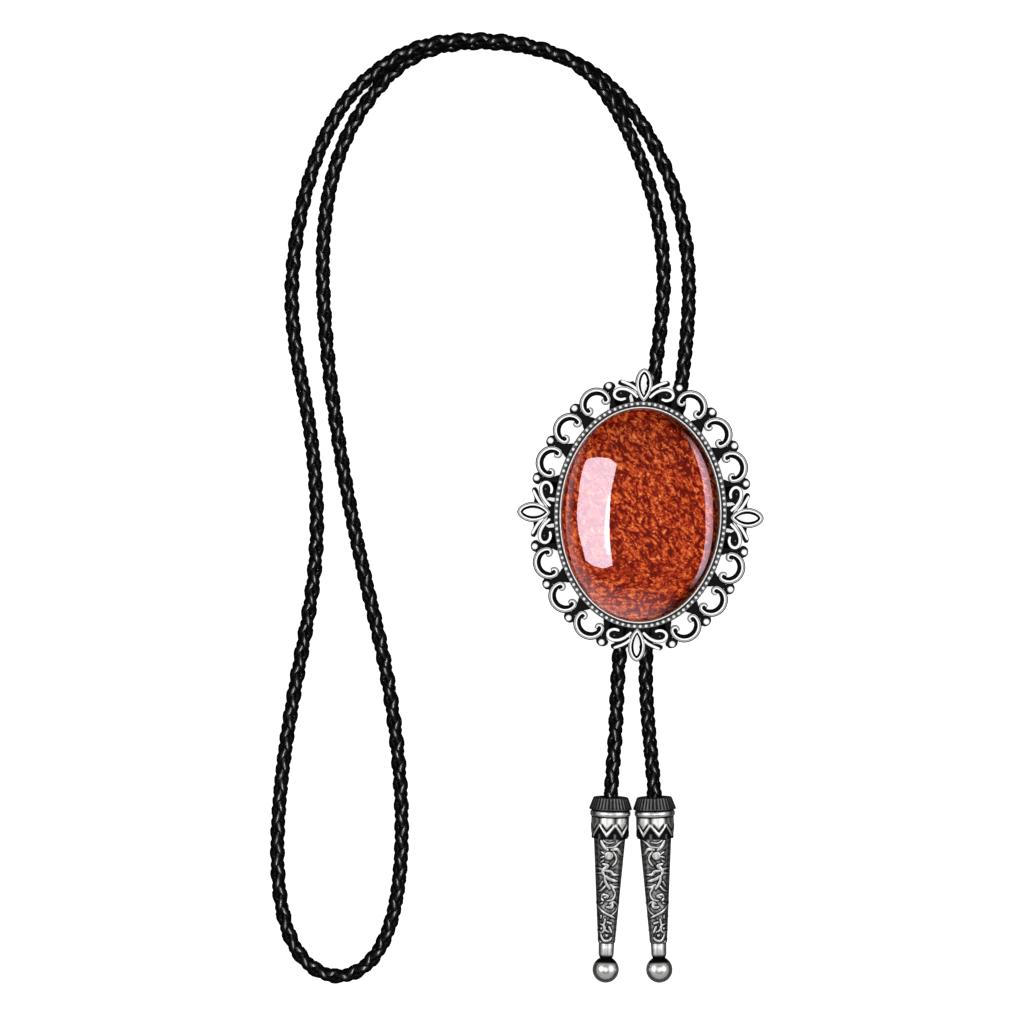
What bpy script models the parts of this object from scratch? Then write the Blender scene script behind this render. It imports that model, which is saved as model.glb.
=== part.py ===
"""Bolo tie: an oval domed stone in a pierced cast setting, carried by a clasp on a braided cord with two tips.

It lies face up on z = 0. +X is to the right of the slide, +Y towards its top, +Z up. Sizes are in metres.
The origin is the middle of the slide, on the flat underside of the clasp.
"""

import math

import bmesh
import bpy
import numpy as np
from mathutils import Matrix, Vector

# Clearances
SEAT_GAP = 0.0003
CHANNEL_GAP = 0.0003

# Stone: an oval cabochon
STONE_WIDTH = 0.0396
STONE_LENGTH = 0.0532
STONE_HEIGHT = 0.0070
STONE_GIRDLE = 0.0013
STONE_SIDES = 44
STONE_RINGS = 8
DOME_POWER = 2.3

# Setting: back plate, stone cup and the ledge that carries the beaded edge
SLIDE_TURN = math.radians(-1.6)
PLATE_THICK = 0.0010
LIP_WIDTH = 0.0005
CUP_HEIGHT = 0.0027
LEDGE_WIDTH = 0.0011
LEDGE_HEIGHT = 0.0017
CUP_SIDES = 56

# Pierced border: scrolls stand on a rail outside the stone, webs and beads between them
RAIL_OFFSET = 0.0049
SCROLL_PITCH = 0.00935
SCROLL_RADIUS = 0.0032
SCROLL_OPEN_ANGLE = math.radians(25)
HOOK_RADIUS = 0.00075
HOOK_TURN = math.radians(150)
SCROLL_WIDTH = 0.0015
WIRE_WIDTH = 0.0010
BORDER_HEIGHT = 0.0017
WEB_THICK = 0.0009
BEAD_DIAMETER = 0.0017
BEAD_OUT = 0.00235

# End ornament at the top, bottom and sides: a pointed loop, two leaves and two volutes
ORNAMENT_REACH = 0.00814
LOOP_LENGTH = 0.0074
LOOP_WIDTH = 0.0036
LOOP_OUT_ENDS = 0.0008
LOOP_OUT_SIDES = 0.0014
LOOP_BAR = 0.0011
PIERCING_DIAMETER = 0.0009
PIERCING_ALONG = 0.0040
PIERCING_OUT = -0.0021

# Undersides of the border's pieces, a little apart so that no two of them lie in one plane
BACKING_UNDER = 0.00005
WEB_UNDER = 0.0001
VOLUTE_UNDER = 0.00015
SCROLL_UNDER = 0.0002
LOOP_UNDER = 0.00025
LEAF_UNDER = 0.0003

# Clasp: one plain block behind the slide with two channels for the cord
CORD_DIAMETER = 0.0040
CHANNEL_SPACING = 0.0066
CLASP_LENGTH = 0.0260
CLASP_WALL = 0.0008
CLASP_EDGE = 0.0006
CLASP_SHIFT = 0.0025
CLASP_TURN = math.radians(-7.5)
CHANNEL_SIDES = 16

# Tips: two cast ends, each lying on its collar and its ball
TIP_SIDES = 20
SOCKET_DEPTH = 0.0080
COLLAR_LENGTH = 0.0030
COLLAR_MOUTH_DIAMETER = 0.0089
COLLAR_DIAMETER = 0.0107
RING_LENGTH = 0.0018
RING_DIAMETER = 0.0101
BAND_LENGTH = 0.0055
BAND_DIAMETER = 0.0096
BODY_LENGTH = 0.0262
BODY_TOP_DIAMETER = 0.0076
BODY_END_DIAMETER = 0.0039
NECK_LENGTH = 0.0038
NECK_DIAMETER = 0.0044
BALL_DIAMETER = 0.0066
RELIEF = 0.0003
RIB_DEPTH = 0.0002
TIP_EDGE = 0.0003
RING_GROOVE = 0.0004
NECK_ROUND = 0.0006
BODY_RINGS = 12
VINE_PITCH = 0.0100

# Middle of each collar's widest circle, seen from above, and how far the tip's lower end swings out
TIP_PLACES = {
    "left_tip": {"x": -0.00745, "y": -0.07345, "swing": math.radians(-1.7)},
    "right_tip": {"x": 0.00358, "y": -0.07345, "swing": math.radians(1.7)},
}

# Cord route from inside the left tip, up through the clasp, round the loop and back to the right tip
CORD_ROUTE = [
    (-0.00758, -0.0778, 0.00512),
    (-0.00745, -0.0735, 0.00534),
    (-0.00730, -0.0690, 0.00555),
    (-0.0063, -0.0560, 0.0033),
    (-0.0054, -0.0380, 0.0021),
    (-0.0029, -0.0160, 0.0031),
    (-0.0008, 0.0000, 0.0031),
    (0.0013, 0.0160, 0.0031),
    (0.0042, 0.0400, 0.0021),
    (0.0059, 0.0600, 0.0021),
    (0.0024, 0.0820, 0.0023),
    (-0.0076, 0.1038, 0.0054),
    (-0.0180, 0.1138, 0.0064),
    (-0.0526, 0.1176, 0.0064),
    (-0.0651, 0.1116, 0.0057),
    (-0.0754, 0.1010, 0.0035),
    (-0.0872, 0.0540, 0.0021),
    (-0.0832, 0.0250, 0.0021),
    (-0.0812, -0.0100, 0.0021),
    (-0.0872, -0.0480, 0.0021),
    (-0.0842, -0.1112, 0.0021),
    (-0.0753, -0.1154, 0.0021),
    (-0.0669, -0.1109, 0.0021),
    (-0.0624, -0.0460, 0.0021),
    (-0.0697, -0.0120, 0.0021),
    (-0.0794, 0.0640, 0.0021),
    (-0.0746, 0.0920, 0.0021),
    (-0.0651, 0.1075, 0.0021),
    (-0.0526, 0.1164, 0.0021),
    (-0.0180, 0.1140, 0.0021),
    (-0.0034, 0.1030, 0.0021),
    (0.0078, 0.0830, 0.0021),
    (0.0122, 0.0560, 0.0021),
    (0.0079, 0.0160, 0.0031),
    (0.0058, 0.0000, 0.0031),
    (0.0037, -0.0160, 0.0031),
    (0.0014, -0.0380, 0.0021),
    (0.00345, -0.0690, 0.00555),
    (0.00358, -0.0735, 0.00534),
    (0.00372, -0.0778, 0.00512),
]
CORD_POINTS = 80
CORD_LIFT = 0.00005
TURN_WEIGHT = 0.020

# What follows from those sizes
CORD_RADIUS = CORD_DIAMETER / 2
CHANNEL_RADIUS = CORD_RADIUS + CHANNEL_GAP
CLASP_WIDTH = CHANNEL_SPACING + 2 * (CHANNEL_RADIUS + CLASP_WALL)
CLASP_HEIGHT = 2 * (CHANNEL_RADIUS + CLASP_WALL)
SETTING_BASE = CLASP_HEIGHT + SEAT_GAP
STONE_BASE = SETTING_BASE + PLATE_THICK + SEAT_GAP
CUP_INSIDE = SEAT_GAP
LIP_EDGE = CUP_INSIDE + LIP_WIDTH
LEDGE_EDGE = LIP_EDGE + LEDGE_WIDTH
BEAD_RADIUS = BEAD_DIAMETER / 2
COLLAR_RADIUS = COLLAR_DIAMETER / 2
BALL_RADIUS = BALL_DIAMETER / 2


def clear_scene():
    """Removes whatever the scene holds."""
    for obj in list(bpy.data.objects):
        bpy.data.objects.remove(obj, do_unlink=True)


def finish(name, colour, roughness, metallic):
    """A Principled material."""
    material = bpy.data.materials.new(name)
    material.use_nodes = True
    shader = material.node_tree.nodes["Principled BSDF"]
    shader.inputs["Base Color"].default_value = (*colour, 1.0)
    shader.inputs["Roughness"].default_value = roughness
    shader.inputs["Metallic"].default_value = metallic
    material.diffuse_color = (*colour, 1.0)
    return material


def mesh_object(name, bm, material=None, parent=None, collection=None):
    """Puts a finished bmesh in the scene as one object with its faces pointing out."""
    bmesh.ops.recalc_face_normals(bm, faces=bm.faces[:])
    mesh = bpy.data.meshes.new(name)
    bm.to_mesh(mesh)
    bm.free()
    obj = bpy.data.objects.new(name, mesh)
    (collection or bpy.context.scene.collection).objects.link(obj)
    if material:
        mesh.materials.append(material)
    obj.parent = parent
    return obj


def guide_collection(name):
    """A collection for shapes that a Boolean reads and no render shows."""
    collection = bpy.data.collections.new(name)
    bpy.context.scene.collection.children.link(collection)
    collection.hide_render = True
    return collection


def guide(name, bm, collection):
    """One Boolean operand, out of the render."""
    obj = mesh_object(name, bm, collection=collection)
    obj.hide_render = True
    obj.display_type = "WIRE"
    return obj


def frame_empty(name, location, rotation):
    """An empty that carries the pieces parented to it."""
    empty = bpy.data.objects.new(name, None)
    empty.location = location
    empty.rotation_euler = rotation
    bpy.context.scene.collection.objects.link(empty)
    return empty


def smooth_by_angle(obj, angle=40):
    """Shades an object smooth with sharp edges where it turns by more than angle degrees."""
    obj.data.shade_smooth()
    obj.data.set_sharp_from_angle(angle=math.radians(angle))


def skin_rings(bm, rings, closed_loop=False):
    """Joins rings of points, each a list of vertices in the same order, with quads. Ends are capped."""
    made = [[bm.verts.new(point) for point in ring] for ring in rings]
    count = len(made[0])
    pairs = list(zip(made, made[1:]))
    if closed_loop:
        pairs.append((made[-1], made[0]))
    for lower, upper in pairs:
        for i in range(count):
            j = (i + 1) % count
            bm.faces.new((lower[i], lower[j], upper[j], upper[i]))
    if not closed_loop:
        bm.faces.new(list(reversed(made[0])))
        bm.faces.new(made[-1])
    return made


def oval(turn, offset):
    """The point at an ellipse angle on the stone's outline, moved outwards, and its outward direction."""
    half_width, half_length = STONE_WIDTH / 2, STONE_LENGTH / 2
    point = Vector((half_width * math.sin(turn), half_length * math.cos(turn)))
    outward = Vector((math.sin(turn) / half_width, math.cos(turn) / half_length)).normalized()
    return point + offset * outward, outward


def rail_table(steps=1440):
    """Ellipse angles and the arc length along the rail up to each, clockwise from the top."""
    turns = np.linspace(0, 2 * math.pi, steps + 1)
    points = np.array([oval(turn, RAIL_OFFSET)[0] for turn in turns])
    arcs = np.concatenate([[0], np.cumsum(np.linalg.norm(np.diff(points, axis=0), axis=1))])
    return turns, arcs


RAIL_TURNS, RAIL_ARCS = rail_table()
QUARTER = float(RAIL_ARCS[-1]) / 4


def on_border(arc, out):
    """The point that lies arc along the rail, clockwise from the top, and out from it."""
    turn = np.interp(arc % RAIL_ARCS[-1], RAIL_ARCS, RAIL_TURNS)
    return oval(turn, RAIL_OFFSET + out)[0]


def border_frame(arc):
    """Origin, along and outward directions of the rail at arc."""
    turn = np.interp(arc % RAIL_ARCS[-1], RAIL_ARCS, RAIL_TURNS)
    origin, outward = oval(turn, RAIL_OFFSET)
    return origin, Vector((outward.y, -outward.x)), outward


def bar(path, width, base, closed=False):
    """A bar along a flat path. Its outer side carries the raised wire and its inner side slopes down.

    path holds flat points, width their widths. The wire lies to the left of the direction of travel.
    """
    count = len(path)
    rings = []
    for i, point in enumerate(path):
        if closed:
            ahead, behind = path[(i + 1) % count], path[i - 1]
        else:
            ahead, behind = path[min(i + 1, count - 1)], path[max(i - 1, 0)]
        along = (ahead - behind).normalized()
        left = Vector((-along.y, along.x))
        onward = (ahead - point if ahead != point else point - behind).normalized()
        half = width[i] / 2 / along.dot(onward)
        section = ((1, base), (1, 0.8 * BORDER_HEIGHT), (0.25, BORDER_HEIGHT), (-1, WEB_THICK), (-1, base))
        rings.append([(*(point + share * half * left), height) for share, height in section])
    bm = bmesh.new()
    skin_rings(bm, rings, closed)
    return bm


def plate(outline, base, top):
    """A flat plate of the given outline between two heights."""
    bm = bmesh.new()
    skin_rings(bm, [[(*point, base) for point in outline], [(*point, top) for point in outline]])
    return bm


def dot(centre, radius, height):
    """A ball, of which only the upper part stands clear of the plate that it is sunk in."""
    bm = bmesh.new()
    place = Matrix.Translation((centre.x, centre.y, height))
    bmesh.ops.create_uvsphere(bm, u_segments=8, v_segments=5, radius=radius, matrix=place)
    return bm


def scroll_path():
    """The C scroll's middle line in its own (along, out) frame, with its ends curled in, and its widths."""
    reach = math.pi / 2 + SCROLL_OPEN_ANGLE
    arc = [(SCROLL_RADIUS * math.sin(a), SCROLL_RADIUS * math.cos(a)) for a in np.linspace(-reach, reach, 9)]
    centre = SCROLL_RADIUS - HOOK_RADIUS
    hook = []
    for turn in np.linspace(0, HOOK_TURN, 4)[1:]:
        angle = reach + turn
        hook.append(
            (
                centre * math.sin(reach) + HOOK_RADIUS * math.sin(angle),
                centre * math.cos(reach) + HOOK_RADIUS * math.cos(angle),
            )
        )
    path = [(-x, y) for x, y in reversed(hook)] + arc + hook
    last = len(path) - 1
    widths = [SCROLL_WIDTH * (0.5 + 0.5 * math.sin(math.pi * i / last) ** 0.7) for i in range(last + 1)]
    return path, widths


def loop_path(middle_out, steps=6):
    """The pointed loop's middle line in the end ornament's (along, out) frame: two arcs that meet in points."""
    half_length, half_width = LOOP_LENGTH / 2, LOOP_WIDTH / 2
    radius = (half_length**2 + half_width**2) / (2 * half_width)
    spread = math.asin(half_length / radius)
    right = []
    for angle in np.linspace(spread, -spread, steps + 1)[:-1]:
        right.append((radius * math.cos(angle) - radius + half_width, middle_out + radius * math.sin(angle)))
    return right + [(-x, 2 * middle_out - y) for x, y in right]


# Right-hand half of the end ornament, in metres along the rail and out from it
VOLUTE_STEM = [
    (0.0018, -0.0023),
    (0.0034, -0.0005),
    (0.0051, 0.0005),
    (0.0066, 0.0008),
    (0.0077, 0.0002),
    (0.0075, -0.0011),
    (0.0064, -0.0018),
    (0.0050, -0.0016),
]
LEAF = [(0.0017, -0.0006), (0.0037, 0.0013), (0.0055, 0.0026)]
ORNAMENT_WEB = [
    (0.0082, -0.0036),
    (0.0080, -0.0006),
    (0.0070, 0.0008),
    (0.0050, 0.0010),
    (0.0057, 0.0023),
    (0.0050, 0.0026),
    (0.0018, 0.0001),
    (0.0008, -0.0012),
]
JUNCTION_WEB = [
    (0.0013, -0.0036),
    (0.0011, -0.0014),
    (0.0007, 0.0002),
    (0.0013, 0.0017),
    (0.0010, 0.0031),
]


def bent(points, station, side=1):
    """Carries (along, out) points to the border round a station. side -1 gives the mirror image."""
    return [on_border(station + side * along, out) for along, out in points]


def border_pieces(collection):
    """Every piece of the pierced border, as closed shapes that overlap their neighbours.

    The scrolls and junctions that fill the room between two end ornaments grow with it.
    """
    path, widths = scroll_path()
    room = QUARTER - 2 * ORNAMENT_REACH
    count = max(1, round(room / SCROLL_PITCH))
    spacing = room / count
    growth = spacing / SCROLL_PITCH
    for quarter in range(4):
        start = quarter * QUARTER + ORNAMENT_REACH
        for k in range(count):
            origin, along, outward = border_frame(start + (k + 0.5) * spacing)
            line = [origin + growth * (x * along + y * outward) for x, y in path]
            scroll = bar(line, [growth * width for width in widths], SCROLL_UNDER)
            guide(f"scroll_{quarter}_{k}", scroll, collection)
        for k in range(count + 1):
            junction(start + k * spacing, growth, f"{quarter}_{k}", collection)
        end_ornament(quarter * QUARTER, quarter, collection)


def junction(station, growth, label, collection):
    """The web between two scrolls, from the cup's ledge to the bead at its outer end."""
    half = [(growth * along, growth * out) for along, out in JUNCTION_WEB]
    outline = bent(half, station) + bent(reversed(half), station, -1)
    guide(f"web_{label}", plate(outline, WEB_UNDER, WEB_THICK), collection)
    guide(f"bead_{label}", dot(on_border(station, growth * BEAD_OUT), BEAD_RADIUS, WEB_THICK), collection)


def end_ornament(station, quarter, collection):
    """The pointed loop with its leaves, volutes and the web behind them."""
    loop = bent(loop_path(LOOP_OUT_SIDES if quarter % 2 else LOOP_OUT_ENDS), station)
    guide(f"loop_{quarter}", bar(loop, [LOOP_BAR] * len(loop), LOOP_UNDER, closed=True), collection)
    for side, name in ((1, "right"), (-1, "left")):
        for shape, line, base in (("volute", VOLUTE_STEM, VOLUTE_UNDER), ("leaf", LEAF, LEAF_UNDER)):
            path = bent(line, station, side)[::side]
            guide(f"{shape}_{name}_{quarter}", bar(path, [WIRE_WIDTH] * len(path), base), collection)
    backing = bent(ORNAMENT_WEB, station) + bent(reversed(ORNAMENT_WEB), station, -1)
    guide(f"backing_{quarter}", plate(backing, BACKING_UNDER, WEB_THICK - BACKING_UNDER), collection)


def piercings(collection):
    """Small round holes between each volute and the cup."""
    for quarter in range(4):
        for side in (1, -1):
            centre = on_border(quarter * QUARTER + side * PIERCING_ALONG, PIERCING_OUT)
            bm = bmesh.new()
            place = Matrix.Translation((centre.x, centre.y, BORDER_HEIGHT / 2))
            bmesh.ops.create_cone(
                bm,
                segments=6,
                radius1=PIERCING_DIAMETER / 2,
                radius2=PIERCING_DIAMETER / 2,
                depth=3 * BORDER_HEIGHT,
                cap_ends=True,
                matrix=place,
            )
            guide(f"piercing_{quarter}_{side}", bm, collection)


def build_setting(parent, material):
    """Back plate and cup in one turned oval, joined to the pierced border."""
    profile = (
        (CUP_INSIDE, PLATE_THICK),
        (CUP_INSIDE, CUP_HEIGHT),
        (LIP_EDGE, CUP_HEIGHT),
        (LIP_EDGE, LEDGE_HEIGHT),
        (LEDGE_EDGE, LEDGE_HEIGHT),
        (LEDGE_EDGE, 0.0),
    )
    turns = [2 * math.pi * k / CUP_SIDES for k in range(CUP_SIDES)]
    rings = [[(*oval(turn, offset)[0], height) for turn in turns] for offset, height in profile]
    bm = bmesh.new()
    skin_rings(bm, rings)
    setting = mesh_object("setting", bm, material, parent)
    setting.location = (0, 0, SETTING_BASE)
    ornaments = guide_collection("border_pieces")
    border_pieces(ornaments)
    holes = guide_collection("border_piercings")
    piercings(holes)
    for obj in (*ornaments.objects, *holes.objects):
        obj.parent = setting
    for label, operation, collection in (("Join", "UNION", ornaments), ("Pierce", "DIFFERENCE", holes)):
        modifier = setting.modifiers.new(label, "BOOLEAN")
        modifier.operation = operation
        modifier.operand_type = "COLLECTION"
        modifier.collection = collection
        modifier.solver = "EXACT"
    return setting


def build_stone(parent, material):
    """The cabochon: flat below, a short upright girdle, and a full dome."""
    turns = [2 * math.pi * k / STONE_SIDES for k in range(STONE_SIDES)]
    outline = [oval(turn, 0)[0] for turn in turns]
    rings = [[(*(0.97 * point), 0.0) for point in outline]]
    rings.append([(*point, 0.0004) for point in outline])
    dome = STONE_HEIGHT - STONE_GIRDLE
    for k in range(STONE_RINGS):
        climb = 0.5 * math.pi * k / STONE_RINGS
        share = math.cos(climb) ** (2 / DOME_POWER)
        height = STONE_GIRDLE + dome * math.sin(climb) ** (2 / DOME_POWER)
        rings.append([(*(share * point), height) for point in outline])
    bm = bmesh.new()
    made = skin_rings(bm, rings)
    top = [face for face in bm.faces if set(face.verts) == set(made[-1])]
    bmesh.ops.delete(bm, geom=top, context="FACES_ONLY")
    summit = bm.verts.new((0, 0, STONE_HEIGHT))
    for i in range(STONE_SIDES):
        bm.faces.new((made[-1][i], made[-1][(i + 1) % STONE_SIDES], summit))
    stone = mesh_object("stone", bm, material, parent)
    stone.location = (0, 0, STONE_BASE)
    smooth_by_angle(stone)
    return stone


def build_clasp(parent, material):
    """A plain block with softened edges and two straight channels."""
    bm = bmesh.new()
    size = Matrix.Diagonal((CLASP_WIDTH, CLASP_LENGTH, CLASP_HEIGHT, 1))
    bmesh.ops.create_cube(bm, size=1, matrix=Matrix.Translation((0, 0, CLASP_HEIGHT / 2)) @ size)
    clasp = mesh_object("clasp", bm, material, parent)
    clasp.location = (CLASP_SHIFT, 0, 0)
    clasp.rotation_euler = (0, 0, CLASP_TURN)
    edges = clasp.modifiers.new("Edges", "BEVEL")
    edges.width = CLASP_EDGE
    edges.segments = 2
    channels = guide_collection("clasp_channels")
    for side in (-1, 1):
        bm = bmesh.new()
        place = Matrix.Translation((side * CHANNEL_SPACING / 2, 0, CLASP_WALL + CHANNEL_RADIUS))
        bmesh.ops.create_cone(
            bm,
            segments=CHANNEL_SIDES,
            radius1=CHANNEL_RADIUS,
            radius2=CHANNEL_RADIUS,
            depth=1.5 * CLASP_LENGTH,
            cap_ends=True,
            matrix=place @ Matrix.Rotation(math.pi / 2, 4, "X"),
        )
        guide(f"channel_{side}", bm, channels).parent = clasp
    cut = clasp.modifiers.new("Channels", "BOOLEAN")
    cut.operation = "DIFFERENCE"
    cut.operand_type = "COLLECTION"
    cut.collection = channels
    cut.solver = "EXACT"
    return clasp


def smooth_route(points, count):
    """Points on the natural cubic spline through the route's own points, closer together where it turns."""
    knots = np.array(points)
    steps = np.linalg.norm(np.diff(knots, axis=0), axis=1) ** 0.75
    places = np.concatenate([[0], np.cumsum(steps)])
    size = len(knots)
    system = np.eye(size)
    bend = np.zeros((size, 3))
    for i in range(1, size - 1):
        system[i, i - 1 : i + 2] = steps[i - 1], 2 * (steps[i - 1] + steps[i]), steps[i]
        bend[i] = 6 * ((knots[i + 1] - knots[i]) / steps[i] - (knots[i] - knots[i - 1]) / steps[i - 1])
    curve = np.linalg.solve(system, bend)
    fine = []
    for place in np.linspace(0, places[-1], 60 * size):
        i = min(int(np.searchsorted(places, place, side="right")) - 1, size - 2)
        ahead, behind, step = places[i + 1] - place, place - places[i], steps[i]
        fine.append(
            (curve[i] * ahead**3 + curve[i + 1] * behind**3) / (6 * step)
            + (knots[i] / step - curve[i] * step / 6) * ahead
            + (knots[i + 1] / step - curve[i + 1] * step / 6) * behind
        )
    fine = np.array(fine)
    moves = np.diff(fine, axis=0)
    lengths = np.linalg.norm(moves, axis=1)
    heading = moves / lengths[:, None]
    turned = np.concatenate([[0], np.linalg.norm(np.diff(heading, axis=0), axis=1)])
    run = np.concatenate([[0], np.cumsum(lengths + TURN_WEIGHT * turned)])
    even = np.linspace(0, run[-1], count)
    return np.stack([np.interp(even, run, fine[:, axis]) for axis in range(3)], axis=1)


def build_cord(material):
    """One cord from tip to tip, never lower than the surface that it lies on."""
    points = smooth_route(CORD_ROUTE, CORD_POINTS)
    points[:, 2] = np.maximum(points[:, 2], CORD_RADIUS + CORD_LIFT)
    curve = bpy.data.curves.new("cord", "CURVE")
    curve.dimensions = "3D"
    spline = curve.splines.new("POLY")
    spline.points.add(CORD_POINTS - 1)
    for place, point in zip(spline.points, points):
        place.co = (*point, 1.0)
    curve.bevel_depth = CORD_RADIUS
    curve.bevel_resolution = 2
    curve.use_fill_caps = True
    curve.materials.append(material)
    cord = bpy.data.objects.new("cord", curve)
    bpy.context.scene.collection.objects.link(cord)
    return cord


def tip_rings():
    """Rings of the tip from the bottom of its socket out over the mouth and down to the ball's end.

    Each ring is a distance from the mouth, a radius, and the relief that stands on it.
    """
    rings = [(SOCKET_DEPTH, CHANNEL_RADIUS, None), (0.0, CHANNEL_RADIUS, None)]
    mouth = COLLAR_MOUTH_DIAMETER / 2
    rings += [(0.0, mouth - RIB_DEPTH, None), (TIP_EDGE, mouth, "ribs")]
    rings += [(COLLAR_LENGTH - TIP_EDGE, COLLAR_RADIUS - RIB_DEPTH, "ribs"), (COLLAR_LENGTH, COLLAR_RADIUS, None)]
    place = COLLAR_LENGTH + RING_GROOVE
    rings += [(place, RING_DIAMETER / 2 - RELIEF, None), (place + RELIEF, RING_DIAMETER / 2, None)]
    place = COLLAR_LENGTH + RING_LENGTH
    band = BAND_DIAMETER / 2 - RELIEF
    rings += [(place, RING_DIAMETER / 2, None), (place + TIP_EDGE, band, None)]
    for share, relief in ((0.30, None), (0.40, "peaks"), (0.65, "middle"), (0.90, "troughs")):
        rings.append((place + share * BAND_LENGTH, band, relief))
    place += BAND_LENGTH
    rings.append((place, band, None))
    top, end = BODY_TOP_DIAMETER / 2 - RELIEF, BODY_END_DIAMETER / 2 - RELIEF
    for k in range(BODY_RINGS + 1):
        share = k / BODY_RINGS
        inner = 0 < k < BODY_RINGS
        rings.append((place + share * BODY_LENGTH, top + share * (end - top), "vine" if inner else None))
    place += BODY_LENGTH
    neck = NECK_DIAMETER / 2
    rings += [(place + RING_GROOVE, neck, None), (place + NECK_LENGTH - NECK_ROUND, neck * 0.95, None)]
    rings.append((place + NECK_LENGTH, neck * 0.75, None))
    centre = place + NECK_LENGTH + 0.92 * BALL_RADIUS
    for turn in np.linspace(math.radians(-62), math.radians(75), 6):
        rings.append((centre + BALL_RADIUS * math.sin(turn), BALL_RADIUS * math.cos(turn), None))
    return rings, centre


def relief_height(kind, side, place):
    """How far the tip's surface stands out at one of its sides."""
    if kind == "ribs":
        return RIB_DEPTH if side % 2 else -RIB_DEPTH
    if kind == "peaks":
        return RELIEF if side % 2 else 0.0
    if kind == "troughs":
        return 0.0 if side % 2 else RELIEF
    if kind == "middle":
        return RELIEF
    if kind == "vine":
        angle = 2 * math.pi * side / TIP_SIDES
        wave = math.cos(2 * angle + 2 * math.pi * place / VINE_PITCH)
        return RELIEF * (1 + wave)
    return 0.0


def build_tip(name, place, material):
    """One cast tip, turned about its axis. It lies on the collar's rim and the ball."""
    rings, ball_place = tip_rings()
    reach = ball_place - COLLAR_LENGTH
    slope = math.acos(BALL_RADIUS / math.hypot(COLLAR_RADIUS, reach)) - math.atan2(reach, COLLAR_RADIUS)
    carrier = frame_empty(
        f"{name}_frame",
        (place["x"], place["y"], COLLAR_RADIUS * math.cos(slope)),
        (slope, 0, place["swing"]),
    )
    outlines = []
    for distance, radius, relief in rings:
        ring = []
        for side in range(TIP_SIDES):
            angle = 2 * math.pi * side / TIP_SIDES - math.pi / 2
            out = radius + relief_height(relief, side, distance)
            ring.append((out * math.cos(angle), COLLAR_LENGTH - distance, out * math.sin(angle)))
        outlines.append(ring)
    bm = bmesh.new()
    skin_rings(bm, outlines)
    tip = mesh_object(name, bm, material, carrier)
    smooth_by_angle(tip, 35)
    return tip


def build_bolo_tie():
    """All the pieces, each with its own finish."""
    clear_scene()
    silver = finish("antique_silver", (0.55, 0.54, 0.52), 0.32, 1.0)
    goldstone = finish("copper_goldstone", (0.42, 0.075, 0.02), 0.12, 0.0)
    steel = finish("plain_steel", (0.42, 0.42, 0.42), 0.4, 1.0)
    leather = finish("black_leather", (0.012, 0.012, 0.013), 0.38, 0.0)
    slide = frame_empty("slide_frame", (0, 0, 0), (0, 0, SLIDE_TURN))
    build_setting(slide, silver)
    build_stone(slide, goldstone)
    build_clasp(None, steel)
    build_cord(leather)
    for name, place in TIP_PLACES.items():
        build_tip(name, place, silver)


build_bolo_tie()
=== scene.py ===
"""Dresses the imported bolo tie: braided cord, antiqued setting, goldstone cabochon, clasp and cast tips.

Everything is in metres in the model's own frame: z = 0 is the surface that it lies on, +X is to the right
of the photograph and +Y towards its top. The slide's middle is the origin.
"""

import logging
import math
from dataclasses import dataclass, field
from enum import Enum
from typing import Sequence

import bpy
import numpy as np
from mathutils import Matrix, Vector


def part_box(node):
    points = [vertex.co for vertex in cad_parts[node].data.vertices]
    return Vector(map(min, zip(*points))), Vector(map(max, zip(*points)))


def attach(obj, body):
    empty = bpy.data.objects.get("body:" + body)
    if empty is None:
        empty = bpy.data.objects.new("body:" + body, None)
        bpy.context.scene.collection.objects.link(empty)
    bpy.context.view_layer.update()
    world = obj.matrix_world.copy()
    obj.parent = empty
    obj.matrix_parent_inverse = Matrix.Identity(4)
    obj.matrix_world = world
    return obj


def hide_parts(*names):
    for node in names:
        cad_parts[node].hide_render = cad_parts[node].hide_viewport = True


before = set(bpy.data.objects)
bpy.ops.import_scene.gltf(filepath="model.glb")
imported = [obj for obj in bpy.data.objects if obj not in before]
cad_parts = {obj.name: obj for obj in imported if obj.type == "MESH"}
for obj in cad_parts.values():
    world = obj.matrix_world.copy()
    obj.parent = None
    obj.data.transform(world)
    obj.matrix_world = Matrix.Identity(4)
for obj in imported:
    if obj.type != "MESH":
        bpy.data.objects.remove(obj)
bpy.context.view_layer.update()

LOG = logging.getLogger("bolo_tie")
MM = 0.001
Colour = tuple[float, float, float]
Point = tuple[float, ...]

# The photograph: its scale, and the pixel that shows the slide's middle
PIXELS = 1024
METRES_A_PIXEL = 0.25 * MM
SLIDE_PIXEL = (640.3, 515.0)

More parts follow.
